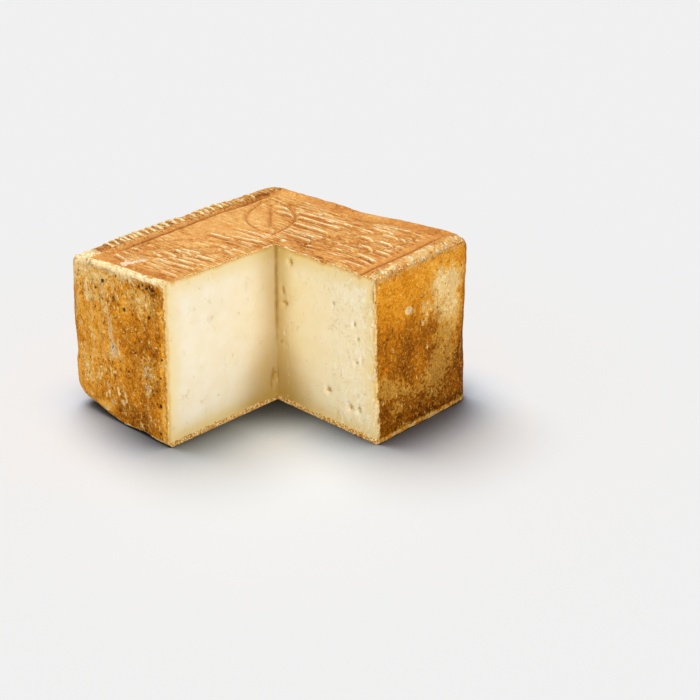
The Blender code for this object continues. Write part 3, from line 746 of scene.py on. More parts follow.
def pitValue(u, v, pits):          # how deep, and how dark: the dark is partly the pits' own brown and partly painted shade in the hollow
    depth = 0.0
    dark = 0.0
    for middleU, middleV, radius, deep in pits:
        away = math.hypot(u - middleU, v - middleV) / radius
        if away < bellTail:
            depth += deep * bell(away)
            dark = max(dark, bell(away))
    return depth, dark


def paintFrom(look, u, v):
    wu, wv = warped(u, v, look["noise"])
    depth, dark = pitValue(u, v, look["pits"])
    skin = sum(height * wave(u, v, level, size) for height, size, level in block["skin"])
    return {
        "cream": patchValue(wu, wv, look["cream"]),
        "mould": patchValue(wu, wv, look["mould"]),
        "tan": patchValue(wu, wv, look["tan"]),
        "tone": patchValue(wu, wv, look["bright"]) - patchValue(wu, wv, look["brown"]),
        "fleck": patchValue(wu, wv, look["fleck"]),
        "dark": dark * look["pitShade"],
        "relief": skin - depth,
    }


def paintSkin(look, u, v):         # the patches, with the side's own tone and flecks
    paint = paintFrom(look, u, v)
    paint["tone"] += look["tone"]
    for share, alongU, alongV, level, size in look["toneWaves"]:
        paint["tone"] += share * wave(u * alongU, v * alongV, level, size)
    paint["fleck"] = max(paint["fleck"], look["leastFleck"])
    return paint


def addCream(paint, value):
    paint["cream"] = max(paint["cream"], value)


def addFleck(paint, value):
    paint["fleck"] = max(paint["fleck"], value)


def addBand(paint, band, holes, share):
    addCream(paint, (band[0] + band[1] * holes) * share)


def crumble(u, v, noiseAt):        # opens holes in the pale bands
    return sum(share * wave(u, v, noiseAt + at, size) for share, at, size in bands["holes"])


def footShare(look, u, z):         # one in the wavy band along the foot
    rise = look["footHigh"]
    for height, size in bands["footWaves"]:
        rise += height * wave(u, 0.0, look["footNoise"], size)
    low, high = bands["footEdge"]
    return 1.0 - smooth(rise * low, rise * high, z)


def footDark(look, foot):
    shade, at = look["footShade"]
    return shade * bell((foot - at) / at)


def rimLevel(look, u, z):
    height, noiseAt = look["rimWave"]
    return z + height * wave(u, 0.0, noiseAt, bands["rimWaveSize"])


def besideCut(look, distance, z):
    height, size = bands["cutWave"]
    return distance + height * wave(0.0, z, look["cutNoise"], size)


def streakValue(look, u, z):
    found = wave(u, z * bands["streakFlat"], look["streakNoise"], bands["streakSize"])
    return smooth(*look["streakFrom"], found)


def paintFront(x, z):
    look = frontPaint
    paint = paintSkin(look, x, z)
    left = 1.0 - smooth(*look["left"], x)
    streak = streakValue(look, x, z)
    addCream(paint, streak * mix(*look["streakCream"], left))
    paint["tone"] += look["leftTone"] * left
    paint["relief"] += look["streakRise"] * streak * left
    holes = crumble(x, z, look["holesNoise"])
    foot = footShare(look, x, z)
    addBand(paint, look["footBand"], holes, foot)
    paint["tone"] -= footDark(look, foot)
    level = rimLevel(look, x, z)
    right = smooth(*look["rimRight"], x)
    under = smooth(*look["underRimFrom"], level) * (1.0 - right)
    addBand(paint, look["underRimBand"], holes, under)
    band = [mix(a, b, right) for a, b in zip(look["rimBand"], look["rimBandRight"])]
    addBand(paint, band, holes, smooth(*look["rimFrom"], level))
    beside = besideCut(look, -x, z)
    addBand(paint, look["cutBand"], holes, 1.0 - smooth(*look["cutBandTo"], beside))
    where, width = look["besideCut"]
    stripe = bell((beside - where) / width) * smooth(*look["besideCutTo"], z)
    paint["tone"] += look["besideCutTone"] * stripe
    return paint


def paintRight(y, z):
    look = rightPaint
    paint = paintSkin(look, y, z)
    paint["tone"] += look["upTone"] * smooth(*look["upFrom"], z)
    holes = crumble(y, z, look["holesNoise"])
    level = rimLevel(look, y, z)
    addBand(paint, look["rimBand"], holes, smooth(*look["rimFrom"], level))
    addFleck(paint, look["rimFleck"] * smooth(*look["rimFleckFrom"], level))
    beside = besideCut(look, y - cut["yOuter"], z)
    addBand(paint, look["cutBand"], holes, 1.0 - smooth(*look["cutBandTo"], beside))
    foot = footShare(look, y, z)
    addBand(paint, look["footBand"], holes, foot)
    least, gaps = look["footTan"]
    paint["tan"] = max(paint["tan"], (least + gaps * holes) * foot)
    paint["tone"] += look["footTone"] * foot - footDark(look, foot)
    paint["relief"] += look["footRise"] * foot * crumble(y, z, 1.0)
    return paint


farLook = {                        # the two sides that the camera doesn't see, by chance
    "seed": 7,
    "noise": 41.0,
    "tone": 0.40,
    "toneWaves": ((0.18, 1.0, 0.60, 1.0, 0.018), (0.12, 1.0, 0.35, 5.0, 0.0050)),
    "leastFleck": 0.42,
    "upTone": 0.14,
    "upFrom": (0.020, 0.100),
    "streakNoise": 6.3,
    "streakFrom": (0.05, 0.50),
    "streakCream": 0.34,
    "holesNoise": 5.0,
    "footNoise": 6.1,
    "footHigh": 0.0030,
    "footBand": (0.36, 0.55),
    "rimWave": (0.0016, 9.9),
    "rimBand": (0.30, 0.50),
    "rimFrom": (0.1050, 0.1085),
    "carryOn": 0.016,              # the seen sides' paint goes this far round the corners
    "patches": (                   # trails, patches in each, widths, how upright, strengths
        ("cream", 40, 3, (0.0008, 0.0018), (1.2, 4.0), (0.44, 0.64)),
        ("mould", 4, 3, (0.0009, 0.0020), (1.2, 4.0), (0.50, 0.74)),
        ("bright", 14, 1, (0.0100, 0.0260), (0.8, 1.6), (0.12, 0.28)),
        ("brown", 16, 1, (0.0100, 0.0240), (0.8, 1.6), (0.12, 0.26)),
        ("tan", 7, 5, (0.0050, 0.0110), (0.7, 1.5), (0.46, 0.92)),
        ("fleck", 18, 1, (0.0120, 0.0300), (0.8, 1.6), (0.40, 0.80)),
    ),
    "patchesUp": (0.05, 0.95),     # shares of the height between which trails and pits begin
    "stray": 1.3,                  # how far the next patch of a trail is, in its widths
    "pitCount": 44,
    "pitShade": 0.80,
    "pitRadius": (0.0009, 0.0013),
    "pitDepth": (0.0006, 0.0014),
}


def makeFarPaint():                # on a strip from the right-hand side round to the front
    rng = random.Random(farLook["seed"])
    length = 4 * block["halfSide"]
    low, high = (share * block["height"] for share in farLook["patchesUp"])
    paint = dict(farLook)
    for name, trails, steps, width, upright, strength in farLook["patches"]:
        paint[name] = []
        for _ in range(trails):
            u = rng.uniform(0.0, length)
            v = rng.uniform(low, high)
            for _ in range(steps):
                wide = rng.uniform(*width)
                tall = wide * rng.uniform(*upright)
                paint[name].append((u, v, wide, tall, rng.uniform(*strength)))
                u += farLook["stray"] * wide * rng.uniform(-1.0, 1.0)
                v += farLook["stray"] * tall * rng.uniform(-1.0, 1.0)
    paint["pits"] = []
    for _ in range(farLook["pitCount"]):
        paint["pits"].append((
            rng.uniform(0.0, length), rng.uniform(low, high),
            rng.uniform(*farLook["pitRadius"]), rng.uniform(*farLook["pitDepth"]),
        ))
    return paint


farPaint = makeFarPaint()


def carryOn(paint, seen, away):
    share = 1.0 - smooth(0.0, farLook["carryOn"], away)
    return {key: mix(paint[key], seen[key], share) for key in paint}


def paintFar(x, y, z):
    look = farPaint
    half = block["halfSide"]
    u = half - x if y > half - tiny else 3 * half - y
    paint = paintSkin(look, u, z)
    addCream(paint, look["streakCream"] * streakValue(look, u, z))
    paint["tone"] += look["upTone"] * smooth(*look["upFrom"], z)
    holes = crumble(u, z, look["holesNoise"])
    addBand(paint, look["footBand"], holes, footShare(look, u, z))
    addBand(paint, look["rimBand"], holes, smooth(*look["rimFrom"], rimLevel(look, u, z)))
    if u < look["carryOn"]:
        paint = carryOn(paint, paintRight(half - u, z), u)
    if 4 * half - u < look["carryOn"]:
        paint = carryOn(paint, paintFront(3 * half - u, z), 4 * half - u)
    return paint


def paintLeftRim(paint, x, y, holes, pale):
    look = topPaint
    rim = smooth(*look["leftRim"], -x)
    cream = mix(*look["leftBand"], smooth(*look["leftBandBack"], y))
    cream *= smooth(*look["leftBandFrom"], -x)
    addCream(paint, cream + look["leftBandHoles"] * holes * rim)
    addFleck(paint, look["leftFleck"] * rim)
    where, width = look["leftInner"]
    darker, innerDarker = look["leftTone"]
    paint["tone"] -= (darker + innerDarker * bell((x + where) / width)) * rim * (1.0 - pale)
    where, width = look["leftDarkAt"]
    noiseAt, size = look["leftDarkNoise"]
    spots = smooth(*look["leftDarkFrom"], wave(x, y, noiseAt, size))
    paint["dark"] = max(paint["dark"], look["leftDark"] * bell((x + where) / width) * spots)


def paintTop(x, y):
    look = topPaint
    paint = paintSkin(look, x, y)
    room = ribRoom(x, y)
    near = paleRoom(x, y)
    crest, crease, pale = ribMarks(x, y)
    paint["crest"] = crest * room
    paint["crease"] = crease * room
    paint["pale"] = pale * near
    calm = patchValue(x, y, look["calm"])
    calm = max(calm, smooth(*look["calmRight"], x), smooth(*look["calmBack"], y))
    calm = max(calm, smooth(*look["calmFront"], y))
    paint["ribby"] = near * (1.0 - calm)
    height, noiseAt, size = look["edgeWave"]
    crumbling = height * wave(x, y, noiseAt, size)
    holes = crumble(x, y, look["holesNoise"])
    if x < look["frontBandTo"]:
        cream = mix(*look["frontBand"], smooth(*look["frontBandRight"], x))
        share = smooth(*look["frontBandFrom"], y + crumbling)
        addBand(paint, (cream, look["frontBandHoles"]), holes, share)
    if x > 0:
        rim = smooth(*look["rightRim"], x + crumbling)
        addBand(paint, look["rightBand"], holes, rim)
        addFleck(paint, look["rightFleck"] * rim)
        paint["tone"] -= look["rightTone"] * rim
    addBand(paint, look["backBand"], holes, smooth(*look["backBandFrom"], y))
    paintLeftRim(paint, x, y, holes, pale)
    cutEdge = abs(x) if y < 0 else far
    if x > 0:
        cutEdge = min(cutEdge, abs(y))
    atCut = 1.0 - smooth(*look["cutBandTo"], cutEdge + crumbling)
    addBand(paint, look["cutBand"], holes, atCut)
    addFleck(paint, look["cutFleck"] * atCut)
    # painted shade in the grooves: the border's, by side, and the leaf's
    border = -groove(fieldDistance(x, y), press["borderWidth"], 1.0)
    leaf = -groove(leafDistance(x, y), press["leafGrooveWidth"], look["leafShade"])
    paint["groove"] = max(border * borderValue(x, y, press["borderShade"]), leaf)
    height, drawnOut, noiseAt, size = look["combing"]
    paint["relief"] *= look["skinShare"]
    paint["relief"] += height * wave(x * drawnOut, y, noiseAt, size) * room
    return paint


masks = (
    "cream", "mould", "tan", "tone", "fleck", "dark", "top", "crest", "crease", "pale", "ribby",
    "groove",
)
pasteMasks = ("rindDistance", "nookShade", "warmShadeAndGold", "crust", "slit", "open")


def topShare(x, y, z):             # one on the top, zero on the sides
    shift, noiseAt, size = topPaint["startWave"]
    low, high = (block["height"] - below for below in topPaint["startsBelow"])
    return smooth(low, high, z + shift + shift * wave(x, y, noiseAt, size))


def paintRind(x, y, z):
    half = block["halfSide"]
    flat = {"crest": 0.0, "crease": 0.0, "pale": 0.0, "ribby": 0.0, "groove": 0.0}
    sides = []
    if abs(y) > half - tiny:
        sides.append(paintFront(x, z) if y < 0 else paintFar(x, y, z))
    if abs(x) > half - tiny:
        sides.append(paintRight(y, z) if x > 0 else paintFar(x, y, z))
    if not sides:
        if z > block["height"] - tiny:
            return dict(paintTop(x, y), top=1.0)
        return dict(paintFrom(farPaint, 2 * half + x, y), top=0.0, **flat)
    side = {key: sum(part[key] for part in sides) / len(sides) for key in sides[0]}
    side.update(flat)
    onTop = topShare(x, y, z)
    if onTop <= 0:
        return dict(side, top=0.0)
    top = paintTop(x, y)
    return dict({key: mix(side[key], top[key], onTop) for key in top}, top=onTop)


pastePaint = {
    "rindReach": 0.015,            # the paste darkens this near to the rind
    "baseNear": 0.85,              # the base counts as this much nearer
    "crustRise": (0.0034, 0.0020, 0.005),
    "crustEdge": (0.6, 1.2),
    "topCrust": (0.0002, 0.0014),
    "topCrustShift": 0.0008,
    "topCrustWave": 0.3,
    "topCrustShare": 0.8,
    "nookLow": 0.060,              # below this the painted shade in the inner corner widens and deepens
    "nookWidth": (0.015, 0.034),
    "nookShare": (0.66, 1.0),
    # the line of painted shade down the inner corner's crease: its width, darkness and where it
    # starts
    "seamWidth": (0.0021, 0.0009, 0.005),
    "seamShade": (1.50, 0.50, 0.006),
    "seamFrom": (0.010, 0.070),
    "warmWidth": 0.030,
    # near the base the same tint is partly the paste's own gold above the crust and partly painted
    # warm bounce light
    "warmBase": 0.90,
    "warmBaseTo": (0.002, 0.016),
    "warmShadeAndGold": {"x": (0.0, 0.40), "y": (0.50, 0.50)},         # all over, and more near the nook: painted shade, darker and warmer, over the cut facing -Y and by the inner corner
    "leastOpen": 0.06,             # of the cut facing +X; the other is rough and has slits
    "open": (0.50, 0.50),
    "openFrom": (0.040, 0.065),
    "openLess": (0.30, 0.030, 0.012),
}


def paintCrust(along, z):          # crust along the base and, thinly, under the top
    look = pastePaint
    height = block["height"]
    rise, rising, size = look["crustRise"]
    rise += rising * wave(along, z, 3.0, size)
    low, high = look["crustEdge"]
    crust = 1.0 - smooth(rise * low, rise * high, z)
    below = height - z + look["topCrustWave"] * rise - look["topCrustShift"]
    return max(crust, look["topCrustShare"] * (1.0 - smooth(*look["topCrust"], below)))


def paintNookShade(along, z):           # painted shade in the inner corner, and a darker line of painted shade along its crease
    look = pastePaint
    low = 1.0 - smooth(0.0, look["nookLow"], z)
    nookShade = bell(along / mix(*look["nookWidth"], low)) * mix(*look["nookShare"], low)
    width, wavering, size = look["seamWidth"]
    seamLineShade = bell(along / (width + wavering * wave(0.0, z, 2.0, size)))
    shade, wavering, size = look["seamShade"]
    shade += wavering * wave(0.0, z, 6.0, size)
    return max(nookShade, shade * seamLineShade * smooth(*look["seamFrom"], z))


def paintPaste(axis, along, z):
    look = pastePaint
    outer = block["halfSide"] - along
    nearest = min(outer, block["height"] - z, look["baseNear"] * z)
    slit = 0.0
    depth = 0.0
    for middle, up, halfWidth, halfHeight, deep in cutMarks[axis]:
        away = math.hypot((along - middle) / halfWidth, (z - up) / halfHeight)
        if away < bellTail:
            depth += deep * bell(away)
            slit = max(slit, bell(away))
    allOver, inNook = look["warmShadeAndGold"][axis]
    warmShadeAndGold = allOver + inNook * bell(along / look["warmWidth"])
    warmShadeAndGold = max(warmShadeAndGold, look["warmBase"] * (1.0 - smooth(*look["warmBaseTo"], z)))
    opened = look["leastOpen"]
    if axis == "y":
        least, more = look["open"]
        less, where, width = look["openLess"]
        opened = least + more * smooth(*look["openFrom"], along)
        opened -= less * bell((along - where) / width)
    return {
        "rindDistance": nearest / look["rindReach"],
        "nookShade": paintNookShade(along, z),
        "warmShadeAndGold": warmShadeAndGold,
        "crust": paintCrust(along, z),
        "slit": slit,
        "open": opened,
        "relief": -depth,
    }


def onCuts(x, y):                  # whether a place of the blank is on the cut facing +X, or -Y
    return abs(x) < tiny and y < tiny, abs(y) < tiny and x > -tiny


def cutEdgeWear(x, y, z):          # crumbled edges, where the knife went through the rind
    height, size = cut["ragged"]
    outer = block["halfSide"] - max(abs(x), abs(y))
    near = min(outer, block["height"] - z)
    share = 1.0 - smooth(0.0, cut["raggedReach"], near)
    share = max(share, 1.0 - smooth(*cut["raggedFoot"], z))
    return height * share * wave(x, y, z, size)


def addPiece(name, bm):
    mesh = bpy.data.meshes.new(name)
    bm.to_mesh(mesh)
    bm.free()
    piece = bpy.data.objects.new(name, mesh)
    bpy.context.scene.collection.objects.link(piece)
    return piece


def makeBlock():
    print("Shaping the block")
    bm = makeBlank()
    layers = {name: bm.verts.layers.float.new(name) for name in masks + pasteMasks}
    nominal = [vert.co.copy() for vert in bm.verts]
    for vert, place in zip(bm.verts, nominal):
        vert.co = shapePoint(*place)
    lowX = min(vert.co.x for vert in bm.verts)
    highX = max(vert.co.x for vert in bm.verts)
    lowY = min(vert.co.y for vert in bm.verts)
    highY = max(vert.co.y for vert in bm.verts)
    low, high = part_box("cheese")
    shift = (low + high - Vector((lowX + highX, lowY + highY, 0.0))) / 2
    shift.z = 0.0
    bmesh.ops.translate(bm, verts=bm.verts, vec=shift)
    for face in bm.faces:
        facings = [onCuts(nominal[vert.index].x, nominal[vert.index].y) for vert in face.verts]
        wholeX = all(facing[0] for facing in facings)
        wholeY = all(facing[1] for facing in facings)
        face.material_index = 1 if wholeX or wholeY else 0
        face.smooth = True
    bm.normal_update()
    print("Painting the block")
    half = block["halfSide"]
    for vert, (x, y, z) in zip(bm.verts, nominal):
        facingX, facingY = onCuts(x, y)
        onCut = facingX or facingY
        onRind = z > block["height"] - tiny or max(abs(x), abs(y)) > half - tiny or not onCut
        relief = 0.0
        if onRind:
            paint = paintRind(x, y, z)
            relief = paint["relief"]
            relief += block["creamRise"] * smooth(*block["creamFrom"], paint["cream"])
            for name in masks:
                vert[layers[name]] = paint[name]
        if onCut:
            paste = paintPaste("x" if facingX else "y", -y if facingX else x, z)
            relief = min(relief, paste["relief"]) + cutEdgeWear(x, y, z)
            for name in pasteMasks:
                vert[layers[name]] = paste[name]
        if z > tiny:
            vert.co += vert.normal * relief
            vert.co.z = max(vert.co.z, 0.0)
    for edge in bm.edges:
        if edge.calc_face_angle(0.0) > cut["sharpFrom"]:
            edge.smooth = False
    base = [face for face in bm.faces if all(vert.co.z < block["baseFlat"] for vert in face.verts)]
    for vert in {vert for face in base for vert in face.verts}:
        vert.co.z = 0.0
    bmesh.ops.dissolve_faces(bm, faces=base)
    flat = [face for face in bm.faces if len(face.verts) > 4]
    bmesh.ops.triangulate(bm, faces=flat)
    piece = addPiece("cheese_block", bm)
    print("Triangles:", sum(len(face.vertices) - 2 for face in piece.data.polygons))
    return piece, shift


# ---- materials
def srgb(red, green, blue):        # a colour as read off a screen, 0 to 255
    linear = []
    for channel in (red, green, blue):
        share = channel / 255
        linear.append(share / 12.92 if share <= 0.04045 else ((share + 0.055) / 1.055) ** 2.4)
    return (*linear, 1.0)


def addNode(tree, kind, inputs=None, **settings):
    made = tree.nodes.new(kind)
    for name, value in settings.items():
        setattr(made, name, value)
    for name, value in (inputs or {}).items():
        if isinstance(value, bpy.types.NodeSocket):
            tree.links.new(value, made.inputs[name])
        else:
            made.inputs[name].default_value = value
    return made


def addMath(tree, operation, a, b=0.0, c=0.0, clamp=False):
    made = addNode(tree, "ShaderNodeMath", {0: a, 1: b, 2: c}, operation=operation, use_clamp=clamp)
    return made.outputs[0]


def addMix(tree, factor, a, b, blend="MIX"):
    made = addNode(tree, "ShaderNodeMix", data_type="RGBA", blend_type=blend)
    for index, value in ((0, factor), (6, a), (7, b)):
        if isinstance(value, bpy.types.NodeSocket):
            tree.links.new(value, made.inputs[index])
        else:
            made.inputs[index].default_value = value
    return made.outputs[2]


def addRange(tree, value, low, high, newLow=0.0, newHigh=1.0):
    inputs = {0: value, 1: low, 2: high, 3: newLow, 4: newHigh}
    made = addNode(tree, "ShaderNodeMapRange", inputs, interpolation_type="SMOOTHSTEP")
    return made.outputs[0]


def addRamp(tree, factor, stops):
    made = addNode(tree, "ShaderNodeValToRGB", {0: factor})
    elements = made.color_ramp.elements
    while len(elements) < len(stops):
        elements.new(0.5)
    for element, (position, colour) in zip(elements, stops):
        element.position = position
        element.color = colour
    return made.outputs[0]


def addVectorBlend(tree, factor, a, b):
    made = addNode(tree, "ShaderNodeMix", {0: factor, 4: a, 5: b}, data_type="VECTOR")
    return made.outputs[1]


def addNoise(tree, vector, scale, detail=3.0, roughness=0.55, distortion=0.0):
    made = addNode(tree, "ShaderNodeTexNoise", {
        "Vector": vector, "Scale": scale, "Detail": detail,
        "Roughness": roughness, "Distortion": distortion,
    })
    return made.outputs[0]


def addAttribute(tree, name):
    return addNode(tree, "ShaderNodeAttribute", attribute_name=name).outputs["Fac"]


def addPush(tree, value, texture, amount):     # moves a value up and down by a noise
    return addMath(tree, "MULTIPLY_ADD", addMath(tree, "SUBTRACT", texture, 0.5), amount, value)


def newGroup(name, inputs, outputs):
    group = bpy.data.node_groups.new(name, "ShaderNodeTree")
    for socketName, kind, value in inputs:
        socket = group.interface.new_socket(socketName, in_out="INPUT", socket_type=kind)
        if value is not None:
            socket.default_value = value
    for socketName, kind in outputs:
        group.interface.new_socket(socketName, in_out="OUTPUT", socket_type=kind)
    return group, group.nodes.new("NodeGroupInput"), group.nodes.new("NodeGroupOutput")


def addBlend(tree, factor, a, b):
    made = addNode(tree, "ShaderNodeMix", {0: factor, 2: a, 3: b}, data_type="FLOAT")
    return made.outputs[0]


laceLook = {
    "noise": (4.0, 0.68),          # detail and roughness
    "middle": 0.5,
    "haloReach": 0.14,             # how far a lacy mask's halo goes beyond it
}
grainLook = {
    "lightNoise": (4.0, 0.72, 0.5),        # detail, roughness and distortion
    "lightFrom": (-0.25, 0.71),    # where in the noise flecks begin: by their share, and at none
    "lightEdge": 0.12,
    "darkShift": (0.3, 0.7, 0.1),
    "darkFiner": 1.2,
    "darkNoise": (3.0, 0.65),
    "darkFrom": (-0.24, 0.74),
    "darkEdge": 0.08,
}


def makeLaceGroup():               # breaks the soft edge of a mask into a ragged, lacy one
    group, ins, outs = newGroup("lacy mask", [
        ("Vector", "NodeSocketVector", None), ("Mask", "NodeSocketFloat", 0.0),
        ("Scale", "NodeSocketFloat", 600.0), ("Raggedness", "NodeSocketFloat", 0.8),
        ("Softness", "NodeSocketFloat", 0.1),
    ], [("Mask", "NodeSocketFloat"), ("Halo", "NodeSocketFloat")])
    coarse = addNoise(group, ins.outputs["Vector"], ins.outputs["Scale"], *laceLook["noise"])
    value = addPush(group, ins.outputs["Mask"], coarse, ins.outputs["Raggedness"])
    middle = laceLook["middle"]
    low = addMath(group, "SUBTRACT", middle, ins.outputs["Softness"])
    high = addMath(group, "ADD", middle, ins.outputs["Softness"])
    group.links.new(addRange(group, value, low, high), outs.inputs["Mask"])
    further = addMath(group, "SUBTRACT", low, laceLook["haloReach"])
    group.links.new(addRange(group, value, further, middle), outs.inputs["Halo"])
    return group


def makeGrainGroup():              # light flecks and dark dots, more with higher shares
    group, ins, outs = newGroup("rind grain", [
        ("Vector", "NodeSocketVector", None), ("Scale", "NodeSocketFloat", 600.0),
        ("Light", "NodeSocketFloat", 0.3), ("Dark", "NodeSocketFloat", 0.3),
    ], [("Light", "NodeSocketFloat"), ("Dark", "NodeSocketFloat")])
    look = grainLook
    vector = ins.outputs["Vector"]
    scale = ins.outputs["Scale"]
    flecks = addNoise(group, vector, scale, *look["lightNoise"])
    moving = {"Vector": vector, "Location": look["darkShift"]}
    moved = addNode(group, "ShaderNodeMapping", moving).outputs[0]
    finer = addMath(group, "MULTIPLY", scale, look["darkFiner"])
    dots = addNoise(group, moved, finer, *look["darkNoise"])
    for name, marks in (("Light", flecks), ("Dark", dots)):
        share = ins.outputs[name]
        start = addMath(group, "MULTIPLY_ADD", share, *look[name.lower() + "From"])
        end = addMath(group, "ADD", start, look[name.lower() + "Edge"])
        group.links.new(addRange(group, marks, start, end), outs.inputs[name])
    return group


def useGroup(tree, group, **inputs):
    made = addNode(tree, "ShaderNodeGroup")
    made.node_tree = group
    for name, value in inputs.items():
        if isinstance(value, bpy.types.NodeSocket):
            tree.links.new(value, made.inputs[name])
        else:
            made.inputs[name].default_value = value
    return made.outputs


lace = makeLaceGroup()
grain = makeGrainGroup()


def addLace(tree, vector, mask, settings):
    scale, raggedness, softness = settings
    return useGroup(
        tree, lace, Vector=vector, Mask=mask, Scale=scale, Raggedness=raggedness, Softness=softness,
    )


def addShrunk(tree, vector, scale):        # shrinks a pattern's coordinates, which draws it out
    return addNode(tree, "ShaderNodeMapping", {"Vector": vector, "Scale": scale}).outputs[0]


def addBump(tree, shader, look, marks):    # marks that rise and sink
    height = 0.0
    for name, rise in look["rises"].items():
        height = addMath(tree, "MULTIPLY_ADD", marks[name], rise, height)
    strength, distance = look["bump"]
    inputs = {"Strength": strength, "Distance": distance, "Height": height}
    bump = addNode(tree, "ShaderNodeBump", inputs)
    tree.links.new(bump.outputs[0], shader.inputs["Normal"])


def newMaterial(name, settings):
    material = bpy.data.materials.new(name)
    material.use_nodes = True
    tree = material.node_tree
    shader = tree.nodes["Principled BSDF"]
    for socketName, value in settings.items():
        shader.inputs[socketName].default_value = value
    vector = addNode(tree, "ShaderNodeTexCoord").outputs["Object"]
    return material, tree, shader, vector


rindLook = {
    "upright": (1.0, 1.0, 0.55),   # how the sides' flecks are drawn out, the top's, and its streaks
    "along": (0.45, 1.0, 1.0),
    "combed": (0.10, 1.0, 1.0),
    "mottleNoise": (130.0, 3.0, 0.60),     # scale, detail, roughness
    "mediumNoise": (420.0, 3.0, 0.65),
    "fineNoise": (1400.0, 4.0, 0.80),
    "streakNoise": (760.0, 3.0, 0.65),
    "tanLace": (450.0, 2.70, 0.26),        # scale, raggedness, softness
    "creamLace": (480.0, 1.15, 0.12),
    "mouldLace": (640.0, 1.90, 0.20),
    "sideGrain": 520.0,
    "topGrain": 640.0,
    "sideTones": (
        (0.00, srgb(96, 44, 0)), (0.22, srgb(150, 84, 4)), (0.45, srgb(198, 118, 12)),
        (0.70, srgb(234, 154, 34)), (1.00, srgb(250, 204, 104)),
    ),
    "topTones": (
        (0.00, srgb(112, 58, 14)), (0.25, srgb(168, 98, 40)), (0.50, srgb(204, 136, 68)),
        (0.75, srgb(226, 170, 100)), (1.00, srgb(246, 214, 150)),
    ),
    "tanTones": (
        (0.15, srgb(142, 92, 28)), (0.40, srgb(200, 150, 72)), (0.62, srgb(240, 202, 130)),
        (0.85, srgb(254, 232, 176)),
    ),
    "rough": (0.10, 0.70, 0.55, 1.0),      # a range, and what it becomes: mottled more with flecks
    "mottle": 0.34,
    "medium": 0.85,
    "fine": 1.90,
    "fineTop": 1.30,
    "streaks": 1.7,
    "crest": 0.32,
    "pale": 0.92,
    "grooveShadeRange": (0.30, 0.95, 0.0, 0.78),
    "creaseShadeRange": (0.15, 0.90, 0.0, 0.55),
    "tanHalo": 0.55,
    "tanLighter": 0.02,
    "wornRange": (0.36, 0.47, 0.30, 0.92),
    "lightMottle": 1.3,            # light flecks come where the mottling is light
    "darkShare": (0.35, 0.34),
    "darkMottle": -0.9,            # and dark dots where it's dark
    "fleckRange": (0.0, 0.55, 0.0, 0.75),
    "fleckHeartRange": (0.45, 1.0, 0.0, 0.85),
    "paleStreakRange": (0.50, 0.64, 0.0, 0.54),
    "creamHalo": 0.40,
    "creamRange": (0.36, 0.60),
    "mouldRange": (0.40, 0.62),
    "dotRange": (0.0, 1.0, 0.80, 0.35),    # fewer on the cream
    "pitRange": (0.15, 0.70, 0.0, 0.94),
    "roughness": (0.3, 0.7, 0.55, 0.85),
    "halo": srgb(250, 188, 70),
    "fleck": srgb(240, 182, 80),
    "fleckTop": srgb(244, 196, 120),
    "fleckHeart": srgb(254, 222, 152),
    "dot": srgb(104, 46, 2),
    "dotTop": srgb(132, 64, 14),
    "cream": srgb(254, 236, 194),
    "creamDeep": srgb(238, 194, 112),
    "sideTint": (1.0, 0.85, 0.62, 1.0),
    "mould": srgb(236, 212, 172),
    "mouldTop": srgb(252, 236, 210),
    "mouldTopDeep": srgb(222, 178, 128),
    "mouldDeep": srgb(198, 160, 104),
    "pit": srgb(66, 30, 2),
    # the colour of the painted shade in the grooves and in the creases before the ribs
    "groove": srgb(142, 72, 20),
    "rises": {"cream": 0.45, "fine": 0.45, "medium": 0.90, "light": 0.45, "dark": -0.70,
              "combing": 0.80},
    "bump": (0.9, 0.0008),         # strength and distance
    "shader": {"Specular IOR Level": 0.05},
}


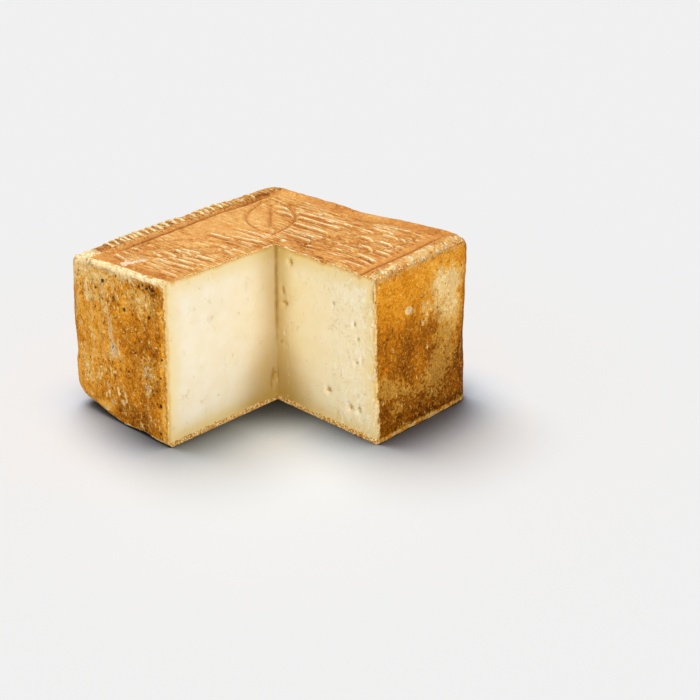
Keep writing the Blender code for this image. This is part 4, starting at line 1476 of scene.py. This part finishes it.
def makeRind():
    look = rindLook
    material, tree, shader, vector = newMaterial("rind", look["shader"])
    onTop = addAttribute(tree, "top")
    fleck = addAttribute(tree, "fleck")
    ribby = addAttribute(tree, "ribby")
    upright = addShrunk(tree, vector, look["upright"])
    along = addShrunk(tree, vector, look["along"])
    combed = addShrunk(tree, vector, look["combed"])
    mottle = addNoise(tree, vector, *look["mottleNoise"])
    medium = addNoise(tree, vector, *look["mediumNoise"])
    fine = addNoise(tree, vector, *look["fineNoise"])
    streaks = addNoise(tree, combed, *look["streakNoise"])
    # the ground colour, moved up and down its ramp by noises of several sizes
    rough = addRange(tree, fleck, *look["rough"])
    shifted = addPush(tree, addAttribute(tree, "tone"), mottle, look["mottle"])
    shifted = addPush(tree, shifted, medium, addMath(tree, "MULTIPLY", rough, look["medium"]))
    fineShare = addBlend(tree, onTop, look["fine"], look["fineTop"])
    shifted = addPush(tree, shifted, fine, addMath(tree, "MULTIPLY", rough, fineShare))
    shifted = addPush(tree, shifted, streaks, addMath(tree, "MULTIPLY", ribby, look["streaks"]))
    crest = addAttribute(tree, "crest")
    shifted = addMath(tree, "MULTIPLY_ADD", crest, look["crest"], shifted)
    sideColour = addRamp(tree, shifted, look["sideTones"])
    colour = addMix(tree, onTop, sideColour, addRamp(tree, shifted, look["topTones"]))
    # painted shade in the grooves
    grooveShadeMask = addRange(tree, addAttribute(tree, "groove"), *look["grooveShadeRange"])
    colour = addMix(tree, grooveShadeMask, colour, look["groove"])
    # tan patches, worn through in places
    tan = addLace(tree, vector, addAttribute(tree, "tan"), look["tanLace"])
    halo = addMath(tree, "MULTIPLY", tan["Halo"], look["tanHalo"])
    colour = addMix(tree, halo, colour, look["halo"])
    tanTone = addMath(tree, "ADD", shifted, look["tanLighter"])
    tanColour = addRamp(tree, tanTone, look["tanTones"])
    halfFine = addMath(tree, "MULTIPLY", fine, 0.5)
    patchy = addMath(tree, "MULTIPLY_ADD", medium, 0.5, halfFine)
    worn = addRange(tree, patchy, *look["wornRange"])
    colour = addMix(tree, addMath(tree, "MULTIPLY", tan["Mask"], worn), colour, tanColour)
    # light flecks, and the dark dots for later
    lightShare = addPush(tree, fleck, mottle, look["lightMottle"])
    darkShare = addMath(tree, "MULTIPLY_ADD", fleck, *look["darkShare"])
    darkShare = addPush(tree, darkShare, mottle, look["darkMottle"])
    shares = {"Light": lightShare, "Dark": darkShare}
    sideMarks = useGroup(tree, grain, Vector=upright, Scale=look["sideGrain"], **shares)
    topMarks = useGroup(tree, grain, Vector=along, Scale=look["topGrain"], **shares)
    light = addBlend(tree, onTop, sideMarks["Light"], topMarks["Light"])
    dark = addBlend(tree, onTop, sideMarks["Dark"], topMarks["Dark"])
    fleckColour = addMix(tree, onTop, look["fleck"], look["fleckTop"])
    colour = addMix(tree, addRange(tree, light, *look["fleckRange"]), colour, fleckColour)
    heartMask = addRange(tree, light, *look["fleckHeartRange"])
    colour = addMix(tree, heartMask, colour, look["fleckHeart"])
    # painted shade in the crease in front of each rib
    creaseShadeMask = addRange(tree, addAttribute(tree, "crease"), *look["creaseShadeRange"])
    colour = addMix(tree, creaseShadeMask, colour, look["groove"])
    # cream: the patches and rims, the lines on the ribs and the combed streaks
    paleLine = addMath(tree, "MULTIPLY", addAttribute(tree, "pale"), look["pale"])
    paleStreak = addRange(tree, streaks, *look["paleStreakRange"])
    paleStreak = addMath(tree, "MULTIPLY", paleStreak, ribby)
    creamy = addMath(tree, "MAXIMUM", paleLine, paleStreak)
    creamy = addMath(tree, "MAXIMUM", addAttribute(tree, "cream"), creamy)
    cream = addLace(tree, addVectorBlend(tree, onTop, vector, along), creamy, look["creamLace"])
    halo = addMath(tree, "MULTIPLY", cream["Halo"], look["creamHalo"])
    colour = addMix(tree, halo, colour, look["creamDeep"])
    creamMask = addRange(tree, patchy, *look["creamRange"])
    creamTop = addMix(tree, creamMask, look["creamDeep"], look["cream"])
    creamSide = addMix(tree, 1.0, creamTop, look["sideTint"], "MULTIPLY")
    colour = addMix(tree, cream["Mask"], colour, addMix(tree, onTop, creamSide, creamTop))
    # mould
    mould = addLace(tree, vector, addAttribute(tree, "mould"), look["mouldLace"])
    mouldDeep = addMix(tree, onTop, look["mouldDeep"], look["mouldTopDeep"])
    mouldPale = addMix(tree, onTop, look["mould"], look["mouldTop"])
    mouldColour = addMix(tree, addRange(tree, fine, *look["mouldRange"]), mouldDeep, mouldPale)
    colour = addMix(tree, mould["Mask"], colour, mouldColour)
    # dark dots, and the pits: their dark is partly their own brown, partly painted shade in the
    # hollows
    dotColour = addMix(tree, onTop, look["dot"], look["dotTop"])
    bare = addRange(tree, cream["Mask"], *look["dotRange"])
    colour = addMix(tree, addMath(tree, "MULTIPLY", dark, bare), colour, dotColour)
    pitMask = addRange(tree, addAttribute(tree, "dark"), *look["pitRange"])
    colour = addMix(tree, pitMask, colour, look["pit"])
    tree.links.new(colour, shader.inputs["Base Color"])
    tree.links.new(addRange(tree, fine, *look["roughness"]), shader.inputs["Roughness"])
    combing = addMath(tree, "MULTIPLY", streaks, ribby)
    addBump(tree, shader, look, {
        "cream": cream["Mask"], "fine": fine, "medium": medium, "light": light, "dark": dark,
        "combing": combing,
    })
    return material


pasteLook = {
    "mottleNoise": (90.0, 3.0, 0.50),      # scale, detail, roughness
    "fineNoise": (900.0, 3.0, 0.60),
    "upright": (1.0, 1.0, 0.55),
    "slitNoise": (260.0, 2.0, 0.55, 0.80), # the same, and distortion
    "slitGate": (150.0, 2.0, 0.50),
    "holeLace": (520.0, 0.90, 0.16),       # scale, raggedness, softness
    "crustLace": (620.0, 0.90, 0.12),
    "flakeGrain": 300.0,
    "heart": srgb(246, 235, 211),
    "heartDeep": srgb(244, 231, 202),
    "nearRind": srgb(240, 220, 170),
    "atRind": srgb(228, 190, 110),
    "nookShade": srgb(182, 144, 56),
    "seamLineShade": srgb(138, 104, 38),
    "warmTint": (0.96, 0.88, 0.62, 1.0),
    "crust": srgb(190, 124, 40),
    "crustCream": srgb(244, 214, 146),
    # the ochre of the painted shade inside the slits and holes
    "slit": srgb(192, 150, 60),
    "speck": srgb(238, 202, 118),
    "flakeHighlight": srgb(252, 242, 216),
    "mottle": 0.35,
    "heartRange": (0.35, 0.65),
    "nearRindRange": (0.10, 1.00),
    "atRindRange": (0.0, 0.20),
    "nookShadeRange": (0.0, 1.0, 0.0, 0.78),    # a range, and what it becomes
    "seamLineShadeRange": (0.95, 1.60, 0.0, 0.40),
    "thinRange": (0.030, 0.004),
    "gateOpen": 0.16,
    "gateRange": (0.58, 0.69),
    "slitShadeShare": 0.35,
    "openingShadeShare": 0.85,
    "flakes": 0.86,
    "specks": 0.12,
    "speckShare": 0.45,
    "flakeHighlightShare": 0.60,
    "crustRange": (0.44, 0.58),
    "rises": {"slits": -0.25, "fine": 0.06, "flakes": 0.35, "holes": -0.60, "crust": 0.60},
    "bump": (0.7, 0.0005),         # strength and distance
    "shader": {
        "Roughness": 0.5, "Specular IOR Level": 0.2, "Subsurface Weight": 0.35,
        "Subsurface Radius": (1.0, 0.55, 0.25), "Subsurface Scale": 0.003,
    },
}


def makePaste():
    look = pasteLook
    material, tree, shader, vector = newMaterial("paste", look["shader"])
    mottle = addNoise(tree, vector, *look["mottleNoise"])
    fine = addNoise(tree, vector, *look["fineNoise"])
    upright = addShrunk(tree, vector, look["upright"])
    # paler towards the heart, darker at the rind, and painted shade in the inner corner and along
    # its crease
    shifted = addPush(tree, addAttribute(tree, "rindDistance"), mottle, look["mottle"])
    heart = addRange(tree, mottle, *look["heartRange"])
    heart = addMix(tree, heart, look["heartDeep"], look["heart"])
    colour = addMix(tree, addRange(tree, shifted, *look["nearRindRange"]), look["nearRind"], heart)
    colour = addMix(tree, addRange(tree, shifted, *look["atRindRange"]), look["atRind"], colour)
    nookShade = addAttribute(tree, "nookShade")
    colour = addMix(tree, addRange(tree, nookShade, *look["nookShadeRange"]), colour, look["nookShade"])
    colour = addMix(tree, addRange(tree, nookShade, *look["seamLineShadeRange"]), colour, look["seamLineShade"])
    # a darker, warmer tint: painted shade on the cut facing -Y and by the inner corner; near the
    # base partly the paste's own gold, partly painted bounce
    colour = addMix(tree, addAttribute(tree, "warmShadeAndGold"), colour, look["warmTint"], "MULTIPLY")
    # fine slits by chance, and the holes that the masks place; their ochre inside is painted shade
    lines = addNoise(tree, upright, *look["slitNoise"])
    offMiddle = addMath(tree, "ABSOLUTE", addMath(tree, "SUBTRACT", lines, 0.5))
    thin = addRange(tree, offMiddle, *look["thinRange"])
    opened = addAttribute(tree, "open")
    gate = addNoise(tree, vector, *look["slitGate"])
    gate = addMath(tree, "MULTIPLY_ADD", opened, look["gateOpen"], gate)
    slits = addMath(tree, "MULTIPLY", thin, addRange(tree, gate, *look["gateRange"]))
    holes = addLace(tree, vector, addAttribute(tree, "slit"), look["holeLace"])["Mask"]
    openingShade = addMath(tree, "MULTIPLY", slits, look["slitShadeShare"])
    openingShade = addMath(tree, "MAXIMUM", openingShade, holes)
    openingShade = addMath(tree, "MULTIPLY", openingShade, look["openingShadeShare"])
    colour = addMix(tree, openingShade, colour, look["slit"])
    flakes = addMath(tree, "MULTIPLY", opened, look["flakes"])
    shares = {"Light": flakes, "Dark": look["specks"]}
    marks = useGroup(tree, grain, Vector=upright, Scale=look["flakeGrain"], **shares)
    specks = addMath(tree, "MULTIPLY", marks["Dark"], look["speckShare"])
    colour = addMix(tree, specks, colour, look["speck"])
    # pale flecks on the raised flakes: a painted highlight
    flakes = addMath(tree, "MULTIPLY", marks["Light"], look["flakeHighlightShare"])
    colour = addMix(tree, flakes, colour, look["flakeHighlight"])
    crustMask = addLace(tree, vector, addAttribute(tree, "crust"), look["crustLace"])["Mask"]
    crustColour = addRange(tree, fine, *look["crustRange"])
    crustColour = addMix(tree, crustColour, look["crust"], look["crustCream"])
    colour = addMix(tree, crustMask, colour, crustColour)
    tree.links.new(colour, shader.inputs["Base Color"])
    addBump(tree, shader, look, {
        "slits": slits, "fine": fine, "flakes": marks["Light"], "holes": holes,
        "crust": crustMask,
    })
    return material


crumbLook = {
    "fineNoise": (1100.0, 3.0, 0.65),
    "fine": 1.0,
    "tones": (
        (0.00, srgb(140, 74, 10)), (0.35, srgb(212, 138, 40)), (0.65, srgb(244, 204, 124)),
        (1.00, srgb(254, 238, 200)),
    ),
    "shader": {"Roughness": 0.75, "Specular IOR Level": 0.12},
}


def makeCrumbMaterial():
    look = crumbLook
    material, tree, shader, vector = newMaterial("crumb", look["shader"])
    fine = addNoise(tree, vector, *look["fineNoise"])
    shade = addPush(tree, addAttribute(tree, "shade"), fine, look["fine"])
    tree.links.new(addRamp(tree, shade, look["tones"]), shader.inputs["Base Color"])
    return material


# ---- crumbs along the cut edges and the foot
crumbs = {
    "seed": 23,
    "size": (0.00022, 0.00075),
    "sunk": 0.35,                  # share of a crumb's size by which it is sunk in
    "towards": (-0.030, 0.030, 0.055),     # the place inside the cheese that they sink towards
    "flatY": (0.6, 1.0),
    "flatZ": (0.5, 0.9),
    "lumpy": 0.6,
    "clumps": 0.006,               # size of the gaps and clumps along the rows
    "gaps": (-0.35, 0.15),
    "rows": (                      # from, to, how many, scatter up and across, shade
        ((0.0, -0.090, 0.0004), (0.0, 0.0, 0.0004), 420, 0.0026, 0.0, (0.15, 0.95)),
        ((0.0, 0.0, 0.0004), (0.090, 0.0, 0.0004), 420, 0.0026, 0.0, (0.15, 0.95)),
        ((0.0, -0.090, 0.003), (0.0, -0.090, 0.108), 130, 0.0, 0.0008, (0.50, 1.0)),
        ((0.090, 0.0, 0.003), (0.090, 0.0, 0.108), 110, 0.0, 0.0006, (0.45, 1.0)),
        ((0.0, -0.090, 0.1105), (0.0, 0.0, 0.1105), 240, 0.0, 0.0016, (0.25, 0.95)),
        ((0.0, 0.0, 0.1105), (0.090, 0.0, 0.1105), 260, 0.0, 0.0016, (0.25, 0.95)),
        ((-0.088, -0.090, 0.0006), (0.0, -0.090, 0.0006), 150, 0.0020, 0.0, (0.25, 0.95)),
        ((0.090, 0.0, 0.0006), (0.090, 0.088, 0.0006), 170, 0.0020, 0.0, (0.15, 0.85)),
        ((-0.086, -0.090, 0.1085), (0.0, -0.090, 0.1085), 200, 0.0020, 0.0, (0.55, 1.0)),
        ((0.090, 0.0, 0.1090), (0.090, 0.086, 0.1090), 180, 0.0015, 0.0, (0.40, 1.0)),
    ),
}


def crumbPlace(rng, start, run, rise, side):
    place = start + run * rng.random()
    place.z += rise * rng.random()
    across = side * rng.random()
    if side and abs(start.x) < tiny and abs(run.x) < tiny:
        place.x -= across
    elif side:
        place.y += across
    return place


def makeCrumbs(shift, material):
    print("Scattering crumbs")
    rng = random.Random(crumbs["seed"])
    bm = bmesh.new()
    shadeLayer = bm.verts.layers.float.new("shade")
    heart = Vector(crumbs["towards"])
    for start, end, count, rise, side, shades in crumbs["rows"]:
        start = Vector(start)
        run = Vector(end) - start
        for _ in range(count):
            place = crumbPlace(rng, start, run, rise, side)
            size = mix(*crumbs["size"], rng.random() ** 2)
            turn = Vector((rng.uniform(-1, 1), rng.uniform(-1, 1), 1.0)).normalized()
            angle = rng.uniform(0, math.tau)
            flat = (1.0, rng.uniform(*crumbs["flatY"]), rng.uniform(*crumbs["flatZ"]), 1.0)
            shade = rng.uniform(*shades)
            if wave(*place, crumbs["clumps"]) < rng.uniform(*crumbs["gaps"]):
                continue
            spot = shapePoint(*place) + shift
            spot += (heart - spot).normalized() * size * crumbs["sunk"]
            turned = Matrix.Rotation(angle, 4, turn)
            matrix = Matrix.Translation(spot) @ turned @ Matrix.Diagonal(flat)
            made = bmesh.ops.create_icosphere(bm, subdivisions=1, radius=size, matrix=matrix)
            for vert in made["verts"]:
                vert.co += (vert.co - spot) * crumbs["lumpy"] * wave(*vert.co, size)
                vert.co.z = max(vert.co.z, 0.0)
                vert[shadeLayer] = shade
    for face in bm.faces:
        face.smooth = True
    piece = addPiece("edge_crumbs", bm)
    piece.data.materials.append(material)
    return piece


# ---- floor, light and camera
studio = {
    "floorSize": 30.0,
    "floorLevel": -0.0001,
    "floor": (0.83, 0.83, 0.83, 1.0),
    "floorShader": {"Roughness": 0.9, "Specular IOR Level": 0.0},
    "contactReach": 0.046,         # the floor's painted contact shadow reaches this far from the cheese
    "contactSamples": 16,
    "litSide": (0.0, -0.070),      # the painted shadow is weaker towards the light: from where along X to where
    "litShare": 0.42,
    "paintedContactShadow": (                   # openness and its shade, which is bluish against the warm bounce
        (0.22, (0.044, 0.051, 0.063)), (0.50, (0.175, 0.20, 0.245)), (0.75, (0.62, 0.67, 0.745)),
        (0.90, (0.90, 0.935, 0.985)), (0.99, (1.0, 1.0, 1.0)),
    ),
    "sky": (0.9, 0.9, 0.9, 1.0),
    "skyStrength": 0.33,
    "sunStrength": 2.6,
    "sunAngle": 40.0,              # degrees across, so its shadows are soft
    "sunFrom": (-0.43, 0.145, 1.0),
    "fillPower": 25.5,
    "fillSize": 1.3,
    "fillAt": (1.30, -1.10, 0.80),
    "fillTo": (0, 0, 0.05),
}
cameraView = {
    "lens": 80.74,
    "sensor": 36.0,
    "azimuth": 42.661,             # degrees, as seen from the front, -Y
    "elevation": 24.538,
    "roll": 0.129,
    "distance": 1.0515,
    "target": (0.02815, 0.04513, 0.03083),     # before the block was centred
}


def addLight(name, kind, place, target):
    light = bpy.data.objects.new(name, bpy.data.lights.new(name, kind))
    light.location = place
    light.rotation_euler = (Vector(target) - light.location).to_track_quat("-Z", "Y").to_euler()
    bpy.context.scene.collection.objects.link(light)
    return light


def makeFloor():
    bm = bmesh.new()
    bmesh.ops.create_grid(bm, x_segments=1, y_segments=1, size=studio["floorSize"] / 2)
    floor = addPiece("floor", bm)
    floor.location.z = studio["floorLevel"]
    material, tree, shader, vector = newMaterial("floor", studio["floorShader"])
    reach = {"Distance": studio["contactReach"]}
    samples = studio["contactSamples"]
    # a painted contact shadow: the floor's colour darkens with ambient occlusion near the cheese
    openness = addNode(tree, "ShaderNodeAmbientOcclusion", reach, samples=samples)
    shades = [(position, (*shade, 1.0)) for position, shade in studio["paintedContactShadow"]]
    placeX = addNode(tree, "ShaderNodeSeparateXYZ", {"Vector": vector}).outputs["X"]
    lit = addRange(tree, placeX, *studio["litSide"], 0.0, studio["litShare"])
    shade = addRamp(tree, addBlend(tree, lit, openness.outputs["AO"], 1.0), shades)
    colour = addMix(tree, 1.0, studio["floor"], shade, "MULTIPLY")
    tree.links.new(colour, shader.inputs["Base Color"])
    floor.data.materials.append(material)


def makeStudio(pieces):
    print("Setting the studio")
    scene = bpy.context.scene
    makeFloor()
    world = bpy.data.worlds.new("studio")
    world.use_nodes = True
    background = world.node_tree.nodes["Background"]
    background.inputs["Color"].default_value = studio["sky"]
    background.inputs["Strength"].default_value = studio["skyStrength"]
    scene.world = world
    sun = addLight("sky panel", "SUN", studio["sunFrom"], (0, 0, 0))
    sun.data.energy = studio["sunStrength"]
    sun.data.angle = math.radians(studio["sunAngle"])
    fill = addLight("front panel", "AREA", studio["fillAt"], studio["fillTo"])
    fill.data.energy = studio["fillPower"]
    fill.data.size = studio["fillSize"]
    lit = bpy.data.collections.new("lit by the front panel")
    for piece in pieces:
        lit.objects.link(piece)
    fill.light_linking.receiver_collection = lit
    scene.view_settings.view_transform = "Standard"


def makeCamera(shift):
    view = cameraView
    azimuth = math.radians(view["azimuth"])
    elevation = math.radians(view["elevation"])
    roll = math.radians(view["roll"])
    back = Vector((
        math.sin(azimuth) * math.cos(elevation),
        -math.cos(azimuth) * math.cos(elevation),
        math.sin(elevation),
    ))
    right = Vector((math.cos(azimuth), math.sin(azimuth), 0.0))
    up = back.cross(right)
    rolledRight = math.cos(roll) * right + math.sin(roll) * up
    rolledUp = math.cos(roll) * up - math.sin(roll) * right
    place = Matrix((rolledRight, rolledUp, back)).transposed().to_4x4()
    place.translation = Vector(view["target"]) + shift + back * view["distance"]
    camera = bpy.data.cameras.new("camera")
    camera.lens = view["lens"]
    camera.sensor_width = view["sensor"]
    cameraObject = bpy.data.objects.new("camera", camera)
    cameraObject.matrix_world = place
    bpy.context.scene.collection.objects.link(cameraObject)
    bpy.context.scene.camera = cameraObject


cheese, shift = makeBlock()
cheese.data.materials.append(makeRind())
cheese.data.materials.append(makePaste())
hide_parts("cheese")
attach(cheese, "root")
edgeCrumbs = makeCrumbs(shift, makeCrumbMaterial())
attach(edgeCrumbs, "root")
makeStudio([cheese, edgeCrumbs])
makeCamera(shift)
